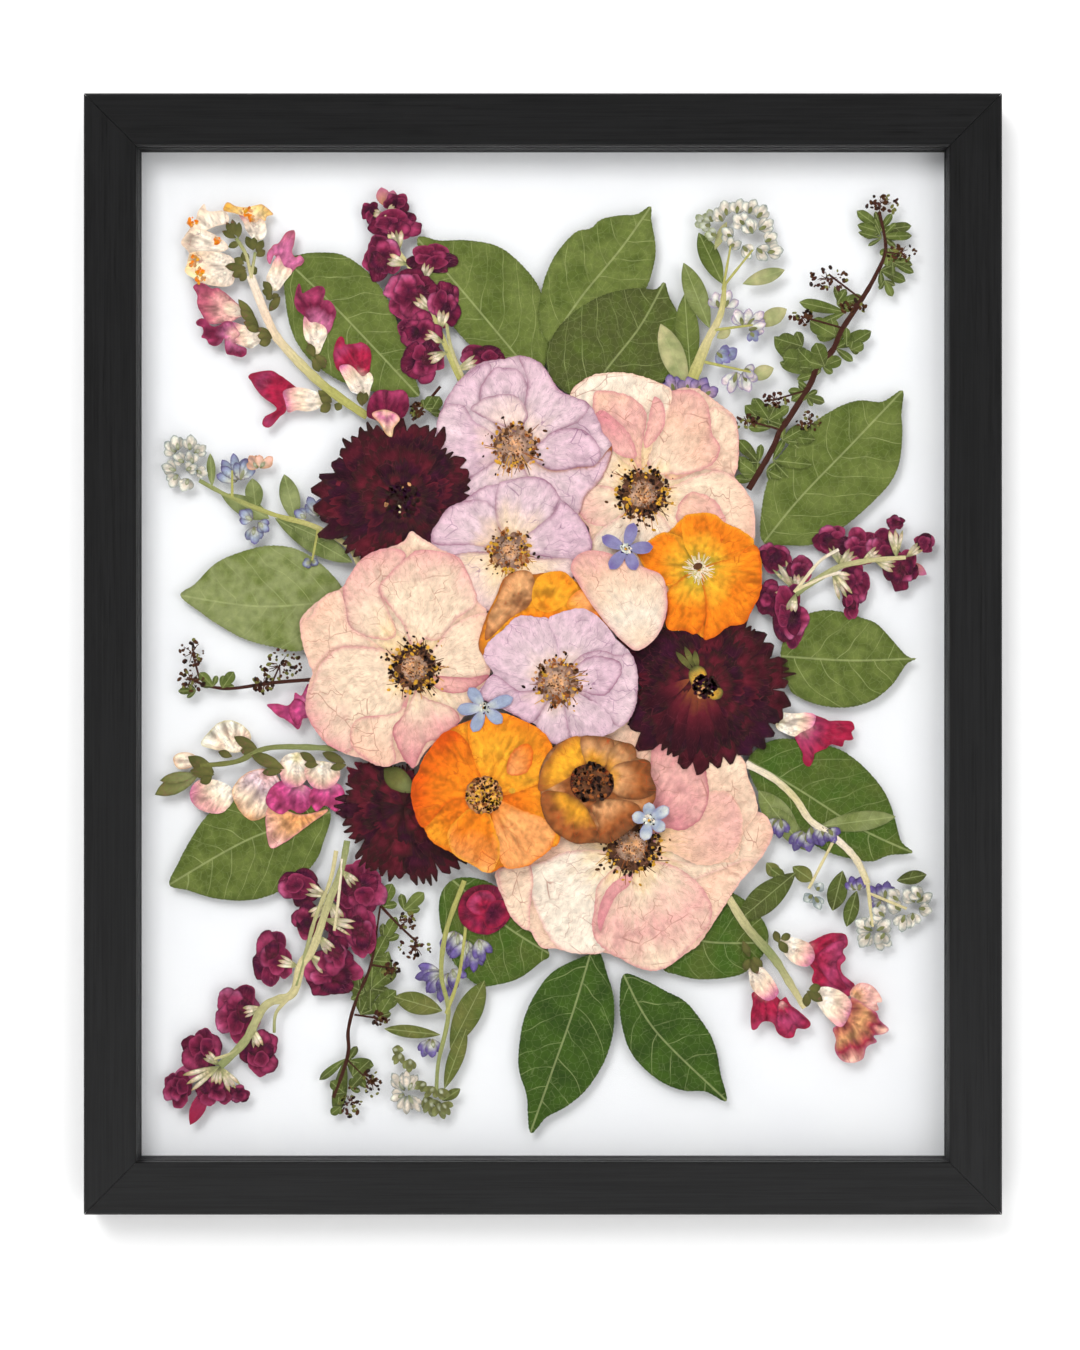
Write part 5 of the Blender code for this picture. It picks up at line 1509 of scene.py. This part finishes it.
# White sprigs: stems, green blades, and small petals as (tones, rim, rows of base, tip and width)
WHITE_SPRIGS = {
    "white_sprig_1": (
        (((4, 12), "stem straw stem", "724,284 720,314 706,343 692,378"), ((2, 3), "stem", "752,250 723,286"),
         ((2, 3), "stem", "730,246 722,290"), ((2, 3), "stem", "752,325 714,330"),
         ((2, 3), "stem", "750,372 704,362")),
        (("meadow leaf", "722,284 698,233,20 690,378 684,294,24"), ("sage meadow", "709,328 683,263,22"),
         ("sage straw", "686,390 660,324,24 742,284 784,270,15 756,326 786,309,17 748,378 773,368,15 "
          "714,250 726,222,9 716,338 730,330,10")),
        (("sage frost sage", "sage", "706,226 696,214,11 710,226 698,224,10 712,222 706,210,11 716,236 704,232,10"),
         ("frost ivory frost", "sky", "722,222 714,208,13 726,216 724,200,14 736,214 738,198,14 748,214 754,199,14 "
          "756,218 768,207,13 758,230 774,222,13 744,226 734,214,13 752,234 746,218,13 732,238 720,230,12 "
          "764,242 778,236,13 766,252 783,252,14 756,248 768,260,12 742,246 752,258,11 728,248 740,240,11"),
         ("ivory frost mist", "violet", "742,326 738,308,14 746,326 762,310,13 748,330 766,326,12 718,308 714,292,13 "
          "724,308 732,291,13 736,372 730,394,14 742,372 750,392,14 744,368 754,376,12"),
         ("frost sky violet", "violet", "750,332 756,342,9 722,358 736,348,14 716,352 728,364,12"),
         ("lilac violet", "indigo", "674,392 668,374,14 686,394 688,374,14 696,394 704,376,14 704,396 716,386,14")),
        "sage olive",
    ),
    "white_sprig_2": (
        (((4, 6), "sage stem straw", "199,480 229,496 273,514 314,526 348,546 360,567"),
         ((2, 3), "stem", "232,470 232,497"), ((2, 3), "stem", "312,560 318,528")),
        (("leaf sage", "221,494 269,518,20 256,510 252,478,18 296,522 284,474,20 275,518 352,562,24 212,486 "
          "210,453,9 290,524 326,540,14"),),
        (("frost ivory frost", "sky", "176,452 164,442,13 178,450 176,434,13 190,450 188,434,12 194,454 205,444,11 "
          "176,470 161,466,13 178,474 168,486,13 188,478 184,492,13 196,470 207,476,10 184,462 172,456,11 "
          "192,464 190,450,11 186,470 197,464,10"),
         ("ivory frost sky violet", "indigo", "236,482 221,460,14 238,480 232,453,13 240,480 248,458,13 252,520 "
          "238,512,13 254,526 252,544,14 258,522 268,532,12 318,516 308,496,14 320,516 331,497,13 306,518 "
          "294,510,12 310,562 302,564,9 312,560 318,564,8"),
         ("ivory peach blush", "tan", "258,468 248,456,12 260,468 270,454,12")),
        "sage frost",
    ),
    "white_sprig_3": (
        (((5, 4), "stem sage", "464,880 446,930 441,973 448,1013 438,1062 436,1096"),
         ((3, 4), "stem", "466,921 459,973 446,1013")),
        (("leaf olive", "450,1048 484,980,26 442,1010 394,996,22 440,1034 384,1028,13 444,1088 466,1028,16 "
          "442,1100 460,1088,10"),),
        (("ivory frost violet violet", "indigo", "440,970 416,982,14 442,972 426,992,14 444,974 436,1001,14 448,972 "
          "446,996,13 452,968 458,988,12 454,930 448,955,13 458,932 456,958,12 468,940 464,970,13 474,944 "
          "474,972,12 478,938 484,962,12 430,1038 421,1056,12 432,1038 435,1057,13"),
         ("frost ivory ivory", "sky", "404,1090 393,1071,12 406,1088 408,1069,11 408,1090 416,1073,10 404,1093 "
          "391,1101,12 406,1095 406,1114,11 408,1094 418,1113,9"),
         ("sage olive sage", "olive", "392,1048 403,1051,9 401,1052 396,1065,8 410,1058 410,1072,10 426,1082 "
          "414,1088,8 424,1096 429,1110,9 430,1098 434,1116,9 438,1102 442,1119,10 442,1102 450,1114,9 438,1088 "
          "448,1098,9 434,1086 426,1098,8")),
        "sage frost",
    ),
    "white_sprig_4": (
        (((7, 7), "ivory straw ivory straw", "745,763 773,778 794,797 810,820 834,837 855,858 867,883"),
         ((4, 3), "straw", "867,883 872,926"), ((3, 3), "straw", "834,838 808,888"),
         ((3, 3), "straw", "867,892 906,908")),
        (("meadow sage", "818,826 895,816,20 800,842 758,790,26 806,850 770,806,20"),
         ("leaf olive", "792,866 812,880,16 766,862 778,876,14 770,868 784,878,12"),
         ("leaf moss", "795,872 738,920,28 842,870 832,910,20 856,890 846,926,15 896,880 926,874,14")),
        (("ivory frost violet violet", "indigo", "776,818 768,836,12 780,818 782,838,12 802,830 792,850,13 806,832 "
          "806,852,12 810,826 816,846,12 822,826 824,846,13 828,828 836,842,12 854,890 848,876,11 858,890 "
          "862,876,11 882,900 868,884,13 884,898 886,880,13 880,900 872,914,13"),
         ("sky frost", "sky", "812,894 804,902,11 816,890 822,882,11 814,896 822,908,10"),
         ("frost ivory frost", "frost", "872,930 853,922,14 870,932 858,946,14 876,930 892,922,13 876,936 "
          "890,947,13 872,926 868,914,12 914,902 904,888,14 916,902 930,890,13 918,908 932,908,12 912,912 "
          "912,928,13 900,910 888,900,13 904,914 898,931,13 884,932 876,945,12 898,900 886,890,12 920,898 "
          "912,884,11 884,916 872,906,12")),
        "sage olive",
    ),
}


class AddWhiteSprigs(bpy.types.Operator):
    """Add the four sprigs with small white and violet florets"""

    bl_idname = "pressed.add_white_sprigs"
    bl_label = "White Sprigs"

    def execute(self, context):
        for node, (stems, leaves, florets, sepals) in WHITE_SPRIGS.items():
            piece = Specimen(node)
            add_stems(piece, stems)
            add_blades(piece, leaves)
            for tones, rim, rows in florets:
                for base_x, base_y, tip_x, tip_y, width in numbers(rows, 5):
                    base, tip = places(f"{base_x},{base_y} {tip_x},{tip_y}")
                    for turn, share in ((-0.5, 0.85), (0.55, 0.8), (0.0, 1.0)):
                        turn += piece.random.uniform(-0.2, 0.2)
                        x, z = (tip - base) * share
                        out = (x * math.cos(turn) - z * math.sin(turn), x * math.sin(turn) + z * math.cos(turn))
                        piece.blade(
                            base, base + out, width * 0.72 * PX, tones, "teal" if rim in ("sky", "frost") else rim,
                            fullest=0.62, point=0.15, rim_width=0.3, streaks=1.0, folds=1.0, step=1.0 * MM,
                        )
                    piece.blade(base, base + (tip - base) * 0.5, 4 * PX, sepals, "olive", rim_width=0.3, step=1.0 * MM)
            piece.finish("pale_florets")
        return {"FINISHED"}


# Twigs: stems, leaves, and seed heads as boxes of the picture
TWIGS = {
    "twig_1": (
        (((3, 6, 6), "bark bark", "879,213 885,249 874,277 858,304 841,330 832,350 818,364 810,383 802,396 789,417 "
          "780,430 770,452 748,489"), ((2, 2), "bark", "862,300 828,274"), ((2, 2), "bark", "843,328 800,316"),
         ((2, 2), "bark", "806,390 772,400"), ((2, 2), "bark", "782,430 746,420"),
         ((2, 2), "bark", "884,252 904,254")),
        "880,228 854,214,12 880,232 857,224,10 880,230 910,222,12 882,236 911,232,10 881,238 857,235,7 884,260 "
        "911,268,12 880,270 902,286,12 845,312 800,297,14 836,304 861,292,14 836,336 811,318,20 812,374 781,330,20 "
        "820,372 790,348,14 835,348 869,336,15 822,366 842,362,14 805,392 788,388,9 806,396 825,398,10 770,428 "
        "750,400,16 780,428 774,410,9 784,436 814,442,14 772,460 811,458,13 758,462 742,436,14 752,480 738,456,16 "
        "766,470 782,476,9 888,248 889,266,13 892,262 911,276,9 884,280 890,297,9 802,346 776,340,19 808,360 "
        "783,352,22 815,368 800,350,18 824,366 812,344,18 846,346 870,330,13 850,350 862,342,12 808,388 788,396,10 "
        "768,418 748,402,14 769,420 756,398,12 768,420 791,411,12 782,440 801,424,13 756,474 743,458,14",
        "865,898,194,215 883,916,243,262 806,848,267,291 788,813,309,325 838,865,300,314 760,788,392,409 "
        "733,761,412,430 796,820,411,431",
    ),
    "twig_2": (
        (((3, 4), "bark bark", "205,685 230,688 275,682 313,679"), ((2, 2), "bark", "200,680 192,652"),
         ((2, 2), "bark", "272,682 280,664"), ((3, 3), "bark", "190,678 205,685")),
        "213,686 202,670,11 222,688 237,674,12 196,690 178,690,8",
        "179,205,639,665 178,204,668,691 257,302,649,680 252,275,673,693",
    ),
    "twig_3": (
        (((3, 4), "bark bark", "376,933 370,966 356,999 348,1029 348,1052 340,1079 333,1097"),
         ((3, 2), "bark", "380,905 399,925 416,941"), ((2, 2), "bark", "376,933 380,905"),
         ((2, 2), "bark", "370,964 392,968"), ((2, 2), "bark", "354,1014 380,1018"),
         ((2, 2), "bark", "346,1058 372,1084")),
        "360,1014 398,956,24 404,910 419,888,14 345,1058 330,1112,16 348,1060 374,1060,13 382,906 397,886,15 "
        "384,940 399,918,14 373,960 391,938,16 371,988 398,970,18 370,1010 396,990,16 364,992 343,982,11 378,1016 "
        "393,1000,14 352,1076 369,1060,12 344,1092 329,1082,12 350,1088 364,1078,11 340,1106 331,1114,10",
        "399,416,911,930 398,433,936,958 383,399,960,979 371,389,1011,1024 363,381,1066,1097 339,361,1086,1117",
    ),
    "twig_4": (
        (((3, 3), "bark", "412,420 440,386"),),
        "430,412 442,398,15 424,408 432,396,10 420,416 410,408,9",
        "409,424,402,418",
    ),
}


class AddTwigs(bpy.types.Operator):
    """Add the dark twigs with their small leaves and seed heads"""

    bl_idname = "pressed.add_twigs"
    bl_label = "Twigs"

    def execute(self, context):
        for node, (stems, leaves, heads) in TWIGS.items():
            piece = Specimen(node)
            add_stems(piece, stems)
            for base_x, base_y, tip_x, tip_y, width in numbers(leaves, 5):
                base, tip = places(f"{base_x},{base_y} {tip_x},{tip_y}")
                for turn, share in ((-0.75, 0.6), (0.8, 0.65), (0.0, 1.0)):
                    turn += piece.random.uniform(-0.25, 0.25)
                    x, z = (tip - base) * share
                    out = (x * math.cos(turn) - z * math.sin(turn), x * math.sin(turn) + z * math.cos(turn))
                    piece.blade(
                        base, base + out, width * share * 0.9 * PX, "moss leaf meadow", finish=LEAF, fullest=0.65,
                        point=0.15, step=1.0 * MM, vein_gap=0.4,
                    )
            for left, right, top, bottom in numbers(heads, 4):
                centre = places(f"{(left + right) / 2},{(top + bottom) / 2}")[0]
                wide, high = (right - left) / 2 * PX, (bottom - top) / 2 * PX
                piece.hairs(centre, 0.1 * wide, 0.9 * min(wide, high), 12, "seed bark", 1.0)
                for _ in range(round(18 + wide * high / MM**2 * 0.35)):
                    angle = piece.random.uniform(0, 2 * math.pi)
                    out = math.sqrt(piece.random.random())
                    spot = centre + (out * wide * math.cos(angle), out * high * math.sin(angle))
                    name = piece.random.choice(("seed", "bark", "seed", "soot", "olive"))
                    piece.bead(spot, piece.random.uniform(0.45, 1.0) * MM, colour(name), 0.35,
                               piece.random.uniform(1, 1.8), piece.random.uniform(0, 3))
            piece.finish("dried_twig")
        return {"FINISHED"}


# Stage and camera
CAMERA_AWAY = 1.478
LENS = 78.7
SHIFT = (-2.9 / 1350, -21 / 1350)


class AddStage(bpy.types.Operator):
    """Add the white wall, the floor, the lights and the camera"""

    bl_idname = "pressed.add_stage"
    bl_label = "Wall, Lights and Camera"

    def execute(self, context):
        scene = context.scene
        bpy.ops.object.select_all(action="DESELECT")
        bpy.ops.mesh.primitive_plane_add(size=6, location=(0, 0.003, 0), rotation=(math.radians(90), 0, 0))
        wall = context.object
        wall.name = "wall"
        bpy.ops.object.transform_apply(location=True, rotation=True, scale=True)
        wall.data.materials.append(wall_paint())
        bpy.ops.mesh.primitive_plane_add(size=6, location=(0, 0, -0.9))
        floor = context.object
        floor.name = "floor"
        bpy.ops.object.transform_apply(location=True, rotation=True, scale=True)
        floor.data.materials.append(paper_like("Floor", (0.72, 0.72, 0.72, 1), (0.78, 0.78, 0.78, 1), 60, 0.8))
        for name, place, size_m, watts in (
            ("Key", (-0.75, -2.0, 1.12), 1.0, 28), ("Top", (0.1, -1.4, 1.5), 1.0, 5),
            ("Fill", (1.2, -2.0, -0.1), 1.4, 13), ("Behind", (0.0, 1.6, 1.0), 1.6, 18),
        ):
            data = bpy.data.lights.new(name, "AREA")
            data.energy = watts
            data.size = size_m
            lamp = bpy.data.objects.new(name, data)
            lamp.location = place
            lamp.visible_glossy = False
            lamp.rotation_euler = (-Vector(place)).to_track_quat("-Z", "Y").to_euler()
            scene.collection.objects.link(lamp)
        scene.world = studio_light(0.58)
        data = bpy.data.cameras.new("Camera")
        data.lens = LENS
        data.sensor_width = 36
        data.shift_x, data.shift_y = SHIFT
        camera = bpy.data.objects.new("Camera", data)
        camera.location = (0, -CAMERA_AWAY, 0)
        camera.rotation_euler = (math.radians(90), 0, 0)
        scene.collection.objects.link(camera)
        scene.camera = camera
        scene.view_settings.view_transform = "Standard"
        return {"FINISHED"}


def studio_light(strength):
    """Even white light from all round, which the panes hardly mirror."""
    world = bpy.data.worlds.new("Studio")
    world.use_nodes = True
    shader = Shader(world.node_tree)
    direct = shader.math("SUBTRACT", 1.0, shader.add("ShaderNodeLightPath").outputs["Is Glossy Ray"])
    background = world.node_tree.nodes["Background"]
    background.inputs["Color"].default_value = (1, 1, 1, 1)
    world.node_tree.links.new(shader.math("MULTIPLY", direct, strength), background.inputs["Strength"])
    return world


def wall_paint():
    """White wall paint, which is clear from behind and to light that isn't seen."""
    made, shader, surface = plain_material("Wall paint", 0.9)
    surface.inputs["Base Color"].default_value = (1, 1, 1, 1)
    surface.inputs["Emission Color"].default_value = (1, 1, 1, 1)
    surface.inputs["Emission Strength"].default_value = 0.03
    clear = shader.add("ShaderNodeBsdfTransparent")
    path = shader.add("ShaderNodeLightPath")
    behind = shader.add("ShaderNodeNewGeometry").outputs["Backfacing"]
    unseen = shader.math("MAXIMUM", behind, path.outputs["Is Shadow Ray"])
    blend = shader.add("ShaderNodeMixShader")
    links = made.node_tree.links
    links.new(unseen, blend.inputs[0])
    links.new(surface.outputs[0], blend.inputs[1])
    links.new(clear.outputs[0], blend.inputs[2])
    links.new(blend.outputs[0], made.node_tree.nodes["Material Output"].inputs["Surface"])
    return made


STEPS = (
    FinishFrame, AddLeaves, AddTwigs, AddWhiteSprigs, AddStocks, AddSnapdragons, AddPeachRoses, AddLilacRoses,
    AddBurgundyBlooms, AddOrangePoppies, AddBlueStars, AddStage,
)


class PressedFlowersPanel(bpy.types.Panel):
    """Lists the steps that dress the frame, and their sizes and colours"""

    bl_idname = "VIEW3D_PT_pressed_flowers"
    bl_label = "Pressed Flowers"
    bl_space_type = "VIEW_3D"
    bl_region_type = "UI"
    bl_category = "Pressed Flowers"

    def draw(self, context):
        for step in STEPS:
            self.layout.operator(step.bl_idname)
        for settings in (context.scene.dried_sizes, context.scene.dried_colours):
            for name in settings.__annotations__:
                self.layout.prop(settings, name)


CLASSES = (DriedColours, DriedSizes, *STEPS, PressedFlowersPanel)


def register():
    for cls in CLASSES:
        bpy.utils.register_class(cls)
    bpy.types.Scene.dried_colours = PointerProperty(type=DriedColours)
    bpy.types.Scene.dried_sizes = PointerProperty(type=DriedSizes)


def unregister():
    del bpy.types.Scene.dried_sizes
    del bpy.types.Scene.dried_colours
    for cls in reversed(CLASSES):
        bpy.utils.unregister_class(cls)


def main():
    """Make every piece in turn and keep the model's sizes."""
    register()
    for step in STEPS:
        family, name = step.bl_idname.split(".")
        getattr(getattr(bpy.ops, family), name)()


if __name__ == "__main__":
    main()
